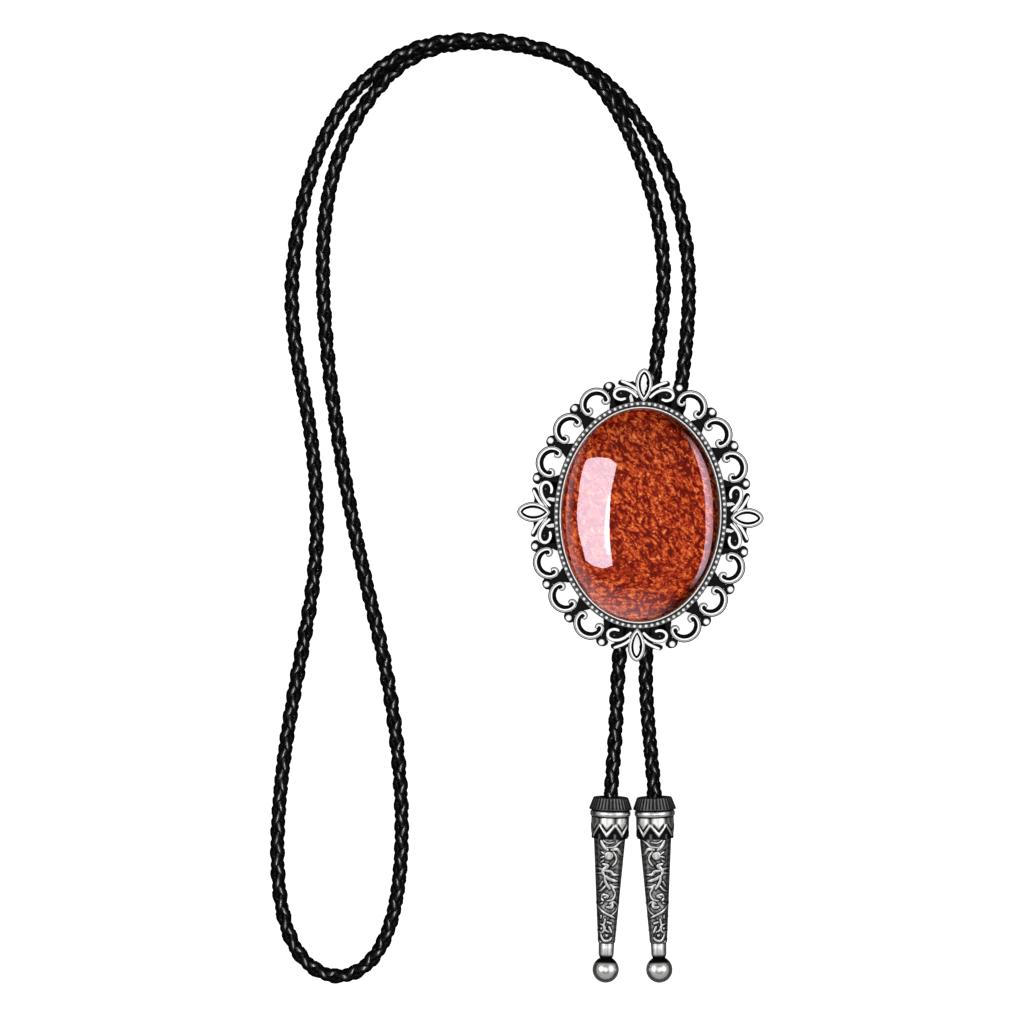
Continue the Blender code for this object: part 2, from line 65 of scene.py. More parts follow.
# Sizes and places that the pieces share with the model
SLIDE_TURN = math.radians(-1.6)
SETTING_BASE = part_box("setting")[0][2]
STONE_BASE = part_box("stone")[0][2]
STONE_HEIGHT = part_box("stone")[1][2] - STONE_BASE
STONE_HALF_WIDTH = 19.8 * MM
STONE_HALF_LENGTH = 26.6 * MM
LEFT_TIP_PLACE = (-7.45 * MM, -73.45 * MM)
RIGHT_TIP_PLACE = (3.58 * MM, -73.45 * MM)
CORD_DIAMETER = 4.0 * MM
CORD_ROUTE: list[Point] = [
    (-0.00758, -0.0778, 0.00512), (-0.00745, -0.0735, 0.00534), (-0.00730, -0.0690, 0.00555),
    (-0.0063, -0.0560, 0.0033), (-0.0054, -0.0380, 0.0021), (-0.0029, -0.0160, 0.0031),
    (-0.0008, 0.0000, 0.0031), (0.0013, 0.0160, 0.0031), (0.0042, 0.0400, 0.0021),
    (0.0059, 0.0600, 0.0021), (0.0024, 0.0820, 0.0023), (-0.0076, 0.1038, 0.0054),
    (-0.0180, 0.1138, 0.0064), (-0.0526, 0.1176, 0.0064), (-0.0651, 0.1116, 0.0057),
    (-0.0754, 0.1010, 0.0035), (-0.0872, 0.0540, 0.0021), (-0.0832, 0.0250, 0.0021),
    (-0.0812, -0.0100, 0.0021), (-0.0872, -0.0480, 0.0021), (-0.0842, -0.1112, 0.0021),
    (-0.0753, -0.1154, 0.0021), (-0.0669, -0.1109, 0.0021), (-0.0624, -0.0460, 0.0021),
    (-0.0697, -0.0120, 0.0021), (-0.0794, 0.0640, 0.0021), (-0.0746, 0.0920, 0.0021),
    (-0.0651, 0.1075, 0.0021), (-0.0526, 0.1164, 0.0021), (-0.0180, 0.1140, 0.0021),
    (-0.0034, 0.1030, 0.0021), (0.0078, 0.0830, 0.0021), (0.0122, 0.0560, 0.0021),
    (0.0079, 0.0160, 0.0031), (0.0058, 0.0000, 0.0031), (0.0037, -0.0160, 0.0031),
    (0.0014, -0.0380, 0.0021), (0.00345, -0.0690, 0.00555), (0.00358, -0.0735, 0.00534),
    (0.00372, -0.0778, 0.00512),
]


class Tone(float, Enum):
    """How bright the antiquing leaves a surface: black in a recess, polished on a high point."""

    RECESS = 0.0
    SHADE = 0.3
    CREST = 1.0


class Turn(Enum):
    """The two directions in which the strands of a round braid run."""

    LEFT = -1
    RIGHT = 1


class Hand(Enum):
    """The two tips. Their reliefs are mirror images."""

    LEFT = 1
    RIGHT = -1


def turned(angle: float, points: np.ndarray) -> np.ndarray:
    """Turns points about the vertical axis by an angle.

    Args:
        angle: The angle in radians.
        points: Points of two or three coordinates.

    Returns:
        The turned points.
    """
    cos, sin = math.cos(angle), math.sin(angle)
    x, y = points[..., 0], points[..., 1]
    return np.stack([cos * x - sin * y, sin * x + cos * y, *np.moveaxis(points[..., 2:], -1, 0)], axis=-1)


def smooth_step(low: float, high: float, value: np.ndarray) -> np.ndarray:
    """Rises smoothly from 0 at low to 1 at high."""
    share = np.clip((value - low) / (high - low), 0, 1)
    return share * share * (3 - 2 * share)


def unit(vectors: np.ndarray) -> np.ndarray:
    """Scales each vector to length 1."""
    return vectors / np.linalg.norm(vectors, axis=-1, keepdims=True)


def in_scene(pixel: Sequence[float]) -> np.ndarray:
    """Carries a pixel of the photograph to the flat place that it shows.

    Args:
        pixel: Column and row in the photograph.

    Returns:
        X and Y in metres.
    """
    column, row = pixel
    return METRES_A_PIXEL * np.array([column - SLIDE_PIXEL[0], SLIDE_PIXEL[1] - row])


@dataclass(frozen=True)
class Bead:
    """A round bead: its radius, where it is widest, how far it rises over that, and its crown's tone."""

    radius: float
    foot: float
    rise: float
    tone: float = Tone.CREST


@dataclass
class Skin:
    """One growing mesh, with a brightness at each vertex."""

    points: list[np.ndarray] = field(default_factory=list)
    shine: list[np.ndarray] = field(default_factory=list)
    faces: list[tuple[int, ...]] = field(default_factory=list)
    count: int = 0
    bead_sides: int = 14
    bead_climb: tuple[float, ...] = (-50, -20, 10, 35, 58, 78, 88)
    bead_dark: float = 0.75

    def add_grid(
        self, rows: np.ndarray, shine: np.ndarray | float, loop: bool = False, cap: bool = True
    ) -> None:
        """Adds a tube of rings.

        Args:
            rows: The rings' points, of shape (rings, points around, 3).
            shine: Brightness for each point, or anything that spreads to that shape.
            loop: Whether the last ring joins the first.
            cap: Whether the open ends are closed.
        """
        rings, around = rows.shape[:2]
        start = self.count
        self.points.append(rows.reshape(-1, 3))
        self.shine.append(np.broadcast_to(shine, (rings, around)).reshape(-1))
        self.count += rings * around
        for i in range(rings if loop else rings - 1):
            lower, upper = start + i * around, start + (i + 1) % rings * around
            for j in range(around):
                k = (j + 1) % around
                self.faces.append((lower + j, lower + k, upper + k, upper + j))
        if cap and not loop:
            self.faces.append(tuple(range(start + around - 1, start - 1, -1)))
            self.faces.append(tuple(range(start + (rings - 1) * around, start + rings * around)))

    def add_bead(self, centre: np.ndarray, bead: Bead) -> None:
        """Adds a round bead, bright on its upper half.

        Args:
            centre: Its flat place.
            bead: Its sizes.
        """
        around = np.linspace(0, 2 * math.pi, self.bead_sides, endpoint=False)
        circle = np.column_stack([np.cos(around), np.sin(around)])
        rings, tones = [], []
        for climb in np.radians(self.bead_climb):
            ring = centre + bead.radius * math.cos(climb) * circle
            high = bead.foot + bead.rise * math.sin(climb)
            rings.append(np.column_stack([ring, np.full(len(around), high)]))
            tones.append(bead.tone * float(smooth_step(0.0, self.bead_dark, np.array(math.sin(climb)))))
        self.add_grid(np.stack(rings), np.array(tones)[:, None])

    def to_object(self, name: str, material: bpy.types.Material, sharp: float = 50) -> bpy.types.Object:
        """Makes the mesh object.

        Args:
            name: The piece's name.
            material: Its finish.
            sharp: Edges that turn by more than this many degrees stay sharp.

        Returns:
            The object, at the origin.
        """
        mesh = bpy.data.meshes.new(name)
        mesh.from_pydata(np.concatenate(self.points).tolist(), [], self.faces)
        brightness = mesh.attributes.new("shine", "FLOAT", "POINT")
        brightness.data.foreach_set("value", np.concatenate(self.shine).astype(np.float32))
        mesh.materials.append(material)
        mesh.shade_smooth()
        mesh.set_sharp_from_angle(angle=math.radians(sharp))
        mesh.update()
        piece = bpy.data.objects.new(name, mesh)
        bpy.context.scene.collection.objects.link(piece)
        return piece


class Graph:
    """The node tree of a material or of the world, filled through short calls."""

    def __init__(self, owner: bpy.types.Material | bpy.types.World) -> None:
        """Starts the tree with its owner's own first nodes.

        Args:
            owner: The material or the world.
        """
        self.owner = owner
        owner.use_nodes = True
        self.tree = owner.node_tree
        self.coordinates = self.node("ShaderNodeTexCoord").outputs
        self.place = self.coordinates["Object"]

    @classmethod
    def of_material(cls, name: str) -> "Graph":
        """Starts a new material, which has a Principled shader."""
        return cls(bpy.data.materials.new(name))

    def put(self, socket: bpy.types.NodeSocket, value: object) -> None:
        """Links a socket to another, or sets its plain value.

        Args:
            socket: The input.
            value: A socket or a value.
        """
        if isinstance(value, bpy.types.NodeSocket):
            self.tree.links.new(value, socket)
        else:
            socket.default_value = value

    def node(self, kind: str, inputs: dict | None = None, **settings: object) -> bpy.types.Node:
        """Adds a node.

        Args:
            kind: Blender's name for the node.
            inputs: Values or sockets for its inputs, by name or number.
            **settings: The node's own properties.

        Returns:
            The node.
        """
        made = self.tree.nodes.new(kind)
        for name, value in settings.items():
            setattr(made, name, value)
        for key, value in (inputs or {}).items():
            self.put(made.inputs[key], value)
        return made

    def attribute(self, name: str) -> bpy.types.NodeSocket:
        """Reads a float attribute of the mesh."""
        return self.node("ShaderNodeAttribute", attribute_name=name).outputs["Fac"]

    def calc(self, operation: str, *values: object) -> bpy.types.NodeSocket:
        """Works out one number from others."""
        return self.node("ShaderNodeMath", dict(enumerate(values)), operation=operation).outputs[0]

    def vector(self, operation: str, inputs: dict) -> bpy.types.NodeSocket:
        """Works out one vector from others."""
        return self.node("ShaderNodeVectorMath", inputs, operation=operation).outputs[0]

    def noise(
        self, scale: float, detail: float = 2.0, place: object = None, rough: float = 0.5
    ) -> bpy.types.NodeSocket:
        """Adds a noise pattern of so many waves a metre."""
        inputs = {"Vector": place or self.place, "Scale": scale, "Detail": detail, "Roughness": rough}
        return self.node("ShaderNodeTexNoise", inputs).outputs["Fac"]

    def ramp(self, level: object, stops: Sequence[tuple[float, Colour]]) -> bpy.types.NodeSocket:
        """Turns a number into a colour through stops of (place, colour).

        Args:
            level: The number.
            stops: Places from 0 to 1 and their colours.

        Returns:
            The colour.
        """
        made = self.node("ShaderNodeValToRGB", {"Fac": level})
        elements = made.color_ramp.elements
        while len(elements) < len(stops):
            elements.new(1.0)
        for element, (place, colour) in zip(elements, stops):
            element.position = place
            element.color = (*colour, 1.0)
        return made.outputs["Color"]

    def span(
        self, level: object, low: float, high: float, start: float = 0.0, end: float = 1.0
    ) -> bpy.types.NodeSocket:
        """Maps a level between start and end to a value between low and high."""
        inputs = {"Value": level, "From Min": start, "From Max": end, "To Min": low, "To Max": high}
        return self.node("ShaderNodeMapRange", inputs).outputs["Result"]

    def bump(self, height: object, distance: float, strength: float = 1.0) -> bpy.types.NodeSocket:
        """Turns a height pattern into a normal."""
        inputs = {"Height": height, "Distance": distance, "Strength": strength}
        return self.node("ShaderNodeBump", inputs).outputs["Normal"]

    def finish(self, inputs: dict[str, object]) -> bpy.types.Material:
        """Sets the Principled shader's inputs and returns the material.

        Args:
            inputs: Values or sockets by the inputs' names.

        Returns:
            The material.
        """
        shader = self.tree.nodes["Principled BSDF"]
        for name, value in inputs.items():
            self.put(shader.inputs[name], value)
        return self.owner


@dataclass(frozen=True)
class AntiqueSilver:
    """Cast, silver-plated metal: polished on its high points, black in its recesses."""

    bright: Colour = (0.90, 0.895, 0.88)
    middle: Colour = (0.36, 0.355, 0.35)
    grey: Colour = (0.055, 0.055, 0.057)
    oxide: Colour = (0.010, 0.010, 0.011)
    blotch: float = 0.14
    patches_a_metre: float = 700.0
    grain_a_metre: float = 4200.0
    levels: tuple[float, ...] = (0.0, 0.16, 0.32, 0.60, 0.9)
    polish: float = 0.26
    dull: float = 0.50

    def build(self) -> bpy.types.Material:
        """Makes the material, which follows the mesh's shine.

        Returns:
            The material.
        """
        graph = Graph.of_material("antique_silver")
        uneven = graph.calc("SUBTRACT", graph.noise(self.patches_a_metre, 3), 0.5)
        patches = graph.calc("MULTIPLY", uneven, self.blotch)
        level = graph.calc("ADD", graph.attribute("shine"), patches)
        colours = (self.oxide, self.oxide, self.grey, self.middle, self.bright)
        stops = list(zip(self.levels, colours))
        grain = graph.noise(self.grain_a_metre, 3)
        rough = graph.calc("ADD", graph.span(level, self.dull, self.polish), graph.span(grain, -0.05, 0.06))
        return graph.finish(
            {
                "Base Color": graph.ramp(level, stops),
                "Metallic": 1.0,
                "Roughness": rough,
                "Normal": graph.bump(grain, 0.01 * MM),
            }
        )


@dataclass(frozen=True)
class Goldstone:
    """Glass full of copper flakes, clouded in wavy scales under a clear polished dome; painted shade from
    the mesh darkens it.
    """

    dark: Colour = (0.155, 0.0045, 0.0005)
    middle: Colour = (0.50, 0.037, 0.006)
    light: Colour = (0.84, 0.15, 0.03)
    spark: Colour = (1.0, 0.42, 0.14)
    flakes_a_metre: float = 2600.0
    scales_a_metre: float = 1150.0
    waves_a_metre: float = 330.0
    stretch: float = 1.8
    slant: float = math.radians(-52)
    bend: float = 1.6 * MM
    bends_a_metre: float = 240.0
    waves_start: float = -17 * MM
    slant_start: float = -10 * MM

    def folds(self, graph: Graph, place: bpy.types.NodeSocket, turn: float) -> bpy.types.NodeSocket:
        """Blotches and dark folds, drawn out along one direction.

        Args:
            graph: The material's nodes.
            place: Where the pattern is read.
            turn: The direction's angle.

        Returns:
            The pattern, about a half on average.
        """
        settings = {"Vector": place, "Rotation": (0, 0, turn), "Scale": (self.stretch, 1, 1)}
        run = graph.node("ShaderNodeMapping", settings, vector_type="TEXTURE").outputs[0]
        blotches = graph.noise(self.scales_a_metre, 3, run, 0.55)
        fold = graph.calc("ABSOLUTE", graph.calc("SUBTRACT", graph.noise(self.waves_a_metre, 2, run), 0.5))
        return graph.calc("ADD", blotches, graph.span(fold, -0.20, 0.03, 0.0, 0.05))

    def build(self) -> bpy.types.Material:
        """Makes the material.

        Returns:
            The material.
        """
        graph = Graph.of_material("copper_goldstone")
        noise = {"Vector": graph.place, "Scale": self.bends_a_metre, "Detail": 1}
        bend = graph.node("ShaderNodeTexNoise", noise).outputs["Color"]
        centred = graph.vector("SUBTRACT", {0: bend, 1: (0.5, 0.5, 0.5)})
        scaled = graph.vector("SCALE", {0: centred, "Scale": self.bend})
        place = graph.vector("ADD", {0: graph.place, 1: scaled})
        height = graph.node("ShaderNodeSeparateXYZ", {0: graph.place}).outputs["Y"]
        share = graph.span(height, 0.0, 1.0, self.waves_start, self.slant_start)
        slanted = graph.calc("MULTIPLY", self.folds(graph, place, self.slant), share)
        upright = graph.calc("MULTIPLY", self.folds(graph, place, 0.0), graph.calc("SUBTRACT", 1.0, share))
        scales = graph.calc("ADD", slanted, upright)
        flakes = graph.node("ShaderNodeTexVoronoi", {"Vector": place, "Scale": self.flakes_a_metre})
        glint = graph.node("ShaderNodeSeparateColor", {"Color": flakes.outputs["Color"]}).outputs["Red"]
        level = graph.calc("ADD", scales, graph.span(glint, -0.06, 0.06))
        level = graph.calc("ADD", level, graph.span(glint, 0.0, 0.16, 0.9, 1.0))
        stops = [(0.40, self.dark), (0.53, self.middle), (0.65, self.light), (0.92, self.spark)]
        # Painted shade: the mesh's shine attribute darkens the base colour.
        lit = graph.node("ShaderNodeCombineXYZ", {axis: graph.attribute("shine") for axis in range(3)})
        return graph.finish(
            {
                "Base Color": graph.vector("MULTIPLY", {0: graph.ramp(level, stops), 1: lit.outputs[0]}),
                "Roughness": graph.span(glint, 0.75, 0.6),
                "Coat Weight": 1.0,
                "Coat Roughness": 0.02,
                "Coat IOR": 1.45,
                "Specular IOR Level": 0.0,
            }
        )


@dataclass(frozen=True)
class BlackLeather:
    """Glossy black braiding leather with a fine grain."""

    colour: Colour = (0.0003, 0.0003, 0.0004)
    scuffed: Colour = (0.0012, 0.0012, 0.0014)
    grain_a_metre: float = 2600.0
    pores_a_metre: float = 3800.0

    def build(self) -> bpy.types.Material:
        """Makes the material.

        Returns:
            The material.
        """
        graph = Graph.of_material("black_leather")
        grain = graph.noise(self.grain_a_metre, 4, rough=0.6)
        pores = graph.node("ShaderNodeTexVoronoi", {"Vector": graph.place, "Scale": self.pores_a_metre})
        height = graph.calc("ADD", grain, graph.calc("MULTIPLY", pores.outputs["Distance"], 0.5))
        return graph.finish(
            {
                "Base Color": graph.ramp(grain, [(0.35, self.colour), (0.75, self.scuffed)]),
                "Roughness": graph.span(grain, 0.22, 0.36, 0.3, 0.7),
                "Normal": graph.bump(height, 0.03 * MM, 0.5),
                "Specular IOR Level": 0.35,
            }
        )


@dataclass(frozen=True)
class PlainSteel:
    """Satin sheet steel with fine rubbed lines."""

    colour: Colour = (0.36, 0.36, 0.37)
    worn: Colour = (0.50, 0.50, 0.50)
    lines_a_metre: float = 5200.0
    smears_a_metre: float = 180.0

    def build(self) -> bpy.types.Material:
        """Makes the material.

        Returns:
            The material.
        """
        graph = Graph.of_material("plain_steel")
        along = graph.node("ShaderNodeMapping", {"Vector": graph.place, "Scale": (1.0, 0.05, 1.0)})
        lines = graph.noise(self.lines_a_metre, 3, along.outputs[0])
        smears = graph.noise(self.smears_a_metre, 3)
        return graph.finish(
            {
                "Base Color": graph.ramp(smears, [(0.35, self.colour), (0.7, self.worn)]),
                "Metallic": 1.0,
                "Roughness": graph.span(lines, 0.28, 0.46),
                "Normal": graph.bump(lines, 0.02 * MM, 0.5),
            }
        )


@dataclass(frozen=True)
class PaleTable:
    """A white light table: evenly lit from below and above."""

    colour: Colour = (0.90, 0.90, 0.90)
    glow: float = 0.78

    def build(self) -> bpy.types.Material:
        """Makes the material.

        Returns:
            The material.
        """
        graph = Graph.of_material("pale_table")
        haze = graph.noise(6, 2)
        return graph.finish(
            {
                "Base Color": graph.ramp(haze, [(0.0, (0.88, 0.88, 0.88)), (1.0, self.colour)]),
                "Roughness": 0.8,
                "Specular IOR Level": 0.1,
                "Emission Color": (1.0, 1.0, 1.0, 1.0),
                "Emission Strength": self.glow,
            }
        )


@dataclass
class Finishes:
    """The materials that the pieces share."""

    silver: bpy.types.Material
    goldstone: bpy.types.Material
    leather: bpy.types.Material
    steel: bpy.types.Material
    table: bpy.types.Material

    @classmethod
    def build(cls) -> "Finishes":
        """Makes all of them."""
        return cls(
            AntiqueSilver().build(),
            Goldstone().build(),
            BlackLeather().build(),
            PlainSteel().build(),
            PaleTable().build(),
        )


@dataclass
class Dome:
    """The stone's surface: a superellipse over an oval."""

    half_width: float = STONE_HALF_WIDTH
    half_length: float = STONE_HALF_LENGTH
    girdle: float = 1.3 * MM
    height: float = STONE_HEIGHT
    power: float = 2.3
    summit: float = 0.004
    underside: tuple[Point, ...] = ((0.97, 0.0), (0.99, 0.1 * MM), (1.0, 0.4 * MM))

    def outline(self, turn: np.ndarray, offset: float = 0.0) -> np.ndarray:
        """Flat points at ellipse angles clockwise from the top, moved outwards.

        Args:
            turn: Angles in radians.
            offset: How far outside the stone.

        Returns:
            Points of shape (..., 2) in the slide's own frame.
        """
        sin, cos = np.sin(turn), np.cos(turn)
        outward = unit(np.stack([sin / self.half_width, cos / self.half_length], axis=-1))
        return np.stack([self.half_width * sin, self.half_length * cos], axis=-1) + offset * outward

    def slope(self, place: np.ndarray) -> np.ndarray:
        """The outward unit normal of the dome over a flat place in the slide's own frame.

        Args:
            place: X and Y in metres.

        Returns:
            The normal.
        """
        x, y = place
        reach = math.hypot(x / self.half_width, y / self.half_length)
        rise = self.height - self.girdle
        steep = rise * (1 - reach**self.power) ** (1 / self.power - 1) * reach ** (self.power - 2)
        return unit(np.array([steep * x / self.half_width**2, steep * y / self.half_length**2, 1.0]))

    def rows(self, around: int = 160, rings: int = 44) -> np.ndarray:
        """The surface from the underside over the girdle to the summit.

        Args:
            around: Points on a ring.
            rings: Rings from the girdle to the summit.

        Returns:
            Points of shape (rings + 3, around, 3), with the underside's three rings first.
        """
        turn = np.linspace(0, 2 * math.pi, around, endpoint=False)
        edge = self.outline(turn)
        climb = np.linspace(0, 0.5 * math.pi, rings)
        shares = np.cos(climb) ** (2 / self.power)
        heights = self.girdle + (self.height - self.girdle) * np.sin(climb) ** (2 / self.power)
        shares[-1] = self.summit
        profile = [*self.underside, *zip(shares, heights)]
        return np.stack([np.column_stack([share * edge, np.full(around, high)]) for share, high in profile])


@dataclass
class Route:
    """A smooth curve through a list of points, which never goes below a floor."""

    knots: list[Point]
    floor: float = CORD_DIAMETER / 2 + 0.05 * MM
    ease: float = 0.75
    fine_steps: int = 60

    def sample(self, count: int) -> np.ndarray:
        """Evenly spaced points on the natural cubic spline through the knots.

        Args:
            count: How many points.

        Returns:
            Points of shape (count, 3), none of them below the floor.
        """
        knots = np.array(self.knots)
        steps = np.linalg.norm(np.diff(knots, axis=0), axis=1) ** self.ease
        places = np.concatenate([[0], np.cumsum(steps)])
        size = len(knots)
        system, bend = np.eye(size), np.zeros((size, 3))
        for i in range(1, size - 1):
            system[i, i - 1 : i + 2] = steps[i - 1], 2 * (steps[i - 1] + steps[i]), steps[i]
            bend[i] = 6 * ((knots[i + 1] - knots[i]) / steps[i] - (knots[i] - knots[i - 1]) / steps[i - 1])
        curve = np.linalg.solve(system, bend)
        fine = np.linspace(0, places[-1], self.fine_steps * size)
        i = np.clip(np.searchsorted(places, fine, side="right") - 1, 0, size - 2)
        ahead, behind = (places[i + 1] - fine)[:, None], (fine - places[i])[:, None]
        step = steps[i][:, None]
        points = (curve[i] * ahead**3 + curve[i + 1] * behind**3) / (6 * step)
        points += (knots[i] / step - curve[i] * step / 6) * ahead
        points += (knots[i + 1] / step - curve[i + 1] * step / 6) * behind
        run = np.concatenate([[0], np.cumsum(np.linalg.norm(np.diff(points, axis=0), axis=1))])
        even = np.linspace(0, run[-1], count)
        spaced = np.stack([np.interp(even, run, points[:, axis]) for axis in range(3)], axis=1)
        spaced[:, 2] = np.maximum(spaced[:, 2], self.floor)
        return spaced


@dataclass
class BraidedCord:
    """A round braid of four leather strands, two turning each way and crossing over and under."""

    leather: bpy.types.Material
    pitch: float = 10.6 * MM
    middle: float = 1.03 * MM
    weave: float = 0.36 * MM
    strand_half_width: float = 1.10 * MM
    strand_half_height: float = 0.66 * MM
    strand_power: float = 0.85
    rings_a_pitch: int = 20
    route_points: int = 400
    sides: int = 8
    quarter_view: float = math.radians(45)
    sway: float = math.radians(24)
    sway_length: float = 0.173

    def strand(self, line: np.ndarray, along: np.ndarray, turn: Turn, phase: float) -> np.ndarray:
        """Rings of one strand.

        Args:
            line: The cord's middle line.
            along: The length run at each of its points.
            turn: Which way the strand winds.
            phase: Where round the cord it starts.

        Returns:
            Rings of shape (points, sides, 3).
        """
        heading = unit(np.gradient(line, axis=0))
        side = unit(np.cross(heading, (0.0, 0.0, 1.0)))
        up = np.cross(side, heading)
        angle = turn.value * 2 * math.pi * along / self.pitch + phase
        radius = self.middle + turn.value * self.weave * np.cos(2 * angle)
        angle = angle + self.quarter_view + self.sway * np.sin(2 * math.pi * along / self.sway_length)
        outward = np.cos(angle)[:, None] * up + np.sin(angle)[:, None] * side
        centre = line + radius[:, None] * outward
        run = unit(np.gradient(centre, axis=0))
        across = unit(np.cross(run, outward))
        out = np.cross(across, run)
        around = np.linspace(0, 2 * math.pi, self.sides, endpoint=False)
        wide = np.sign(np.cos(around)) * np.abs(np.cos(around)) ** self.strand_power
        wide = wide * self.strand_half_width
        high = np.sin(around) * self.strand_half_height
        return centre[:, None] + wide[None, :, None] * across[:, None] + high[None, :, None] * out[:, None]

    def build(self) -> bpy.types.Object:
        """Returns:
            The cord.
        """
        rough = Route(CORD_ROUTE).sample(self.route_points)
        length = float(np.linalg.norm(np.diff(rough, axis=0), axis=1).sum())
        count = int(length / self.pitch * self.rings_a_pitch)
        line = Route(CORD_ROUTE).sample(count)
        along = np.linspace(0, length, count)
        skin = Skin()
        for turn in Turn:
            for phase in (0.0, math.pi):
                skin.add_grid(self.strand(line, along, turn, phase), Tone.SHADE)
        piece = skin.to_object("braided_cord", self.leather, 80)
        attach(piece, "root")
        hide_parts("cord")
        LOG.info("cord: %.3f m, %d strands", length, 2 * len(Turn))
        return piece


@dataclass
class Studio:
    """Camera, table and lights."""

    finishes: Finishes
    distance: float = 2.4
    sensor: float = 0.036
    mid_height: float = 5 * MM
    sight: float = 20.0
    table_half: float = 1.5
    table_drop: float = 0.02 * MM
    room_levels: tuple[Point, ...] = ((0.0, 0.01), (0.35, 0.02), (0.62, 0.08), (0.85, 0.18), (1.0, 0.22))

    def build_camera(self) -> None:
        """Looks straight down from far away, framed as the photograph is."""
        data = bpy.data.cameras.new("camera")
        data.sensor_width = self.sensor / MM
        data.lens = data.sensor_width * self.distance / (PIXELS * METRES_A_PIXEL)
        data.clip_end = self.sight
        camera = bpy.data.objects.new("camera", data)
        x, y = in_scene((PIXELS / 2, PIXELS / 2))
        camera.location = (x, y, self.distance + self.mid_height)
        bpy.context.scene.collection.objects.link(camera)
        bpy.context.scene.camera = camera

    def build_table(self) -> None:
        """A pale floor that reflections leave out, as with black flags round the object."""
        mesh = bpy.data.meshes.new("table")
        half = self.table_half
        corners = [(-half, -half, 0), (half, -half, 0), (half, half, 0), (-half, half, 0)]
        mesh.from_pydata(corners, [], [(0, 1, 2, 3)])
        mesh.materials.append(self.finishes.table)
        table = bpy.data.objects.new("table", mesh)
        table.location = (0, 0, -self.table_drop)
        table.visible_glossy = False
        bpy.context.scene.collection.objects.link(table)

    def build_world(self) -> None:
        """A room that is dark round the horizon and light overhead."""
        graph = Graph(bpy.data.worlds.new("room"))
        height = graph.node("ShaderNodeSeparateXYZ", {0: graph.coordinates["Generated"]}).outputs["Z"]
        fade = graph.ramp(height, [(place, (level, level, level)) for place, level in self.room_levels])
        graph.put(graph.tree.nodes["Background"].inputs["Color"], fade)
        bpy.context.scene.world = graph.owner

    def build(self) -> None:
        """Everything round the object but its reflected panels."""
        self.build_camera()
        self.build_table()
        self.build_world()
        bpy.context.scene.view_settings.view_transform = "Standard"
        LOG.info("studio: camera, table and room")


def light_only(source: bpy.types.Object, pieces: Sequence[bpy.types.Object]) -> None:
    """Keeps a light or a glowing panel to some pieces, as flags and snoots do in a studio.

    Args:
        source: The light or panel.
        pieces: The pieces that it lights.
    """
    lit = bpy.data.collections.new(f"{source.name}_lights")
    for piece in pieces:
        lit.objects.link(piece)
    source.light_linking.receiver_collection = lit


@dataclass
class Lamp:
    """A round area lamp that faces the slide's middle, or one stretched along the table's length.

    Its place is in metres from there, and its glow is what a mirror would show of it.
    """

    name: str
    place: Point
    radius: float
    glow: float
    mirrored: bool = True
    stretch: float = 1.0

    def build(self, pieces: Sequence[bpy.types.Object] = ()) -> None:
        """Hangs the lamp. With pieces it lights those alone.

        Args:
            pieces: What it lights, or nothing for all.
        """
        data = bpy.data.lights.new(self.name, "AREA")
        data.shape = "ELLIPSE"
        data.size = 2 * self.radius * self.stretch
        data.size_y = 2 * self.radius
        data.energy = self.glow * math.pi * math.pi * self.radius**2 * self.stretch
        lamp = bpy.data.objects.new(self.name, data)
        lamp.location = self.place
        lamp.rotation_euler = Vector(self.place).to_track_quat("Z", "Y").to_euler()
        lamp.visible_glossy = self.mirrored
        bpy.context.scene.collection.objects.link(lamp)
        if pieces:
            light_only(lamp, pieces)


@dataclass
class Screen:
    """A dim upright screen all round the table, which the metal mirrors from low viewpoints."""

    name: str = "screen"
    radius: float = 3.0
    height: float = 3.6
    glow: float = 0.34
    sides: int = 32

    def build(self, pieces: Sequence[bpy.types.Object]) -> None:
        """Stands the screen up for some pieces, out of the camera's own sight.

        Args:
            pieces: Those that show it.
        """
        turn = np.linspace(0, 2 * math.pi, self.sides, endpoint=False)
        ring = self.radius * np.column_stack([np.cos(turn), np.sin(turn)])
        rows = np.stack([np.column_stack([ring, np.full(self.sides, high)]) for high in (self.height, 0.0)])
        skin = Skin()
        skin.add_grid(rows, self.glow, cap=False)
        shown = glowing(self.name, (1.0, 1.0, 1.0), 1.0, "shine")
        screen = skin.to_object(self.name, shown)
        hide_from_camera(screen)
        light_only(screen, pieces)


def glowing(name: str, colour: Colour, strength: float, level: str) -> bpy.types.Material:
    """A clear material that only adds a glow, as much as a float attribute of the mesh says.

    Args:
        name: The material's name.
        colour: The glow's colour.
        strength: Its strength where the attribute is 1.
        level: The attribute's name.

    Returns:
        The material.
    """
    graph = Graph.of_material(name)
    graph.tree.nodes.remove(graph.tree.nodes["Principled BSDF"])
    power = graph.calc("MULTIPLY", graph.attribute(level), strength)
    light = graph.node("ShaderNodeEmission", {"Color": (*colour, 1.0), "Strength": power})
    clear = graph.node("ShaderNodeBsdfTransparent")
    both = graph.node("ShaderNodeAddShader", {0: light.outputs[0], 1: clear.outputs[0]})
    graph.put(graph.tree.nodes["Material Output"].inputs["Surface"], both.outputs[0])
    return graph.owner


def hide_from_camera(panel: bpy.types.Object) -> None:
    """Leaves a panel to be seen in reflections alone.

    Args:
        panel: The panel.
    """
    panel.visible_camera = False
    panel.visible_diffuse = False
    panel.visible_shadow = False


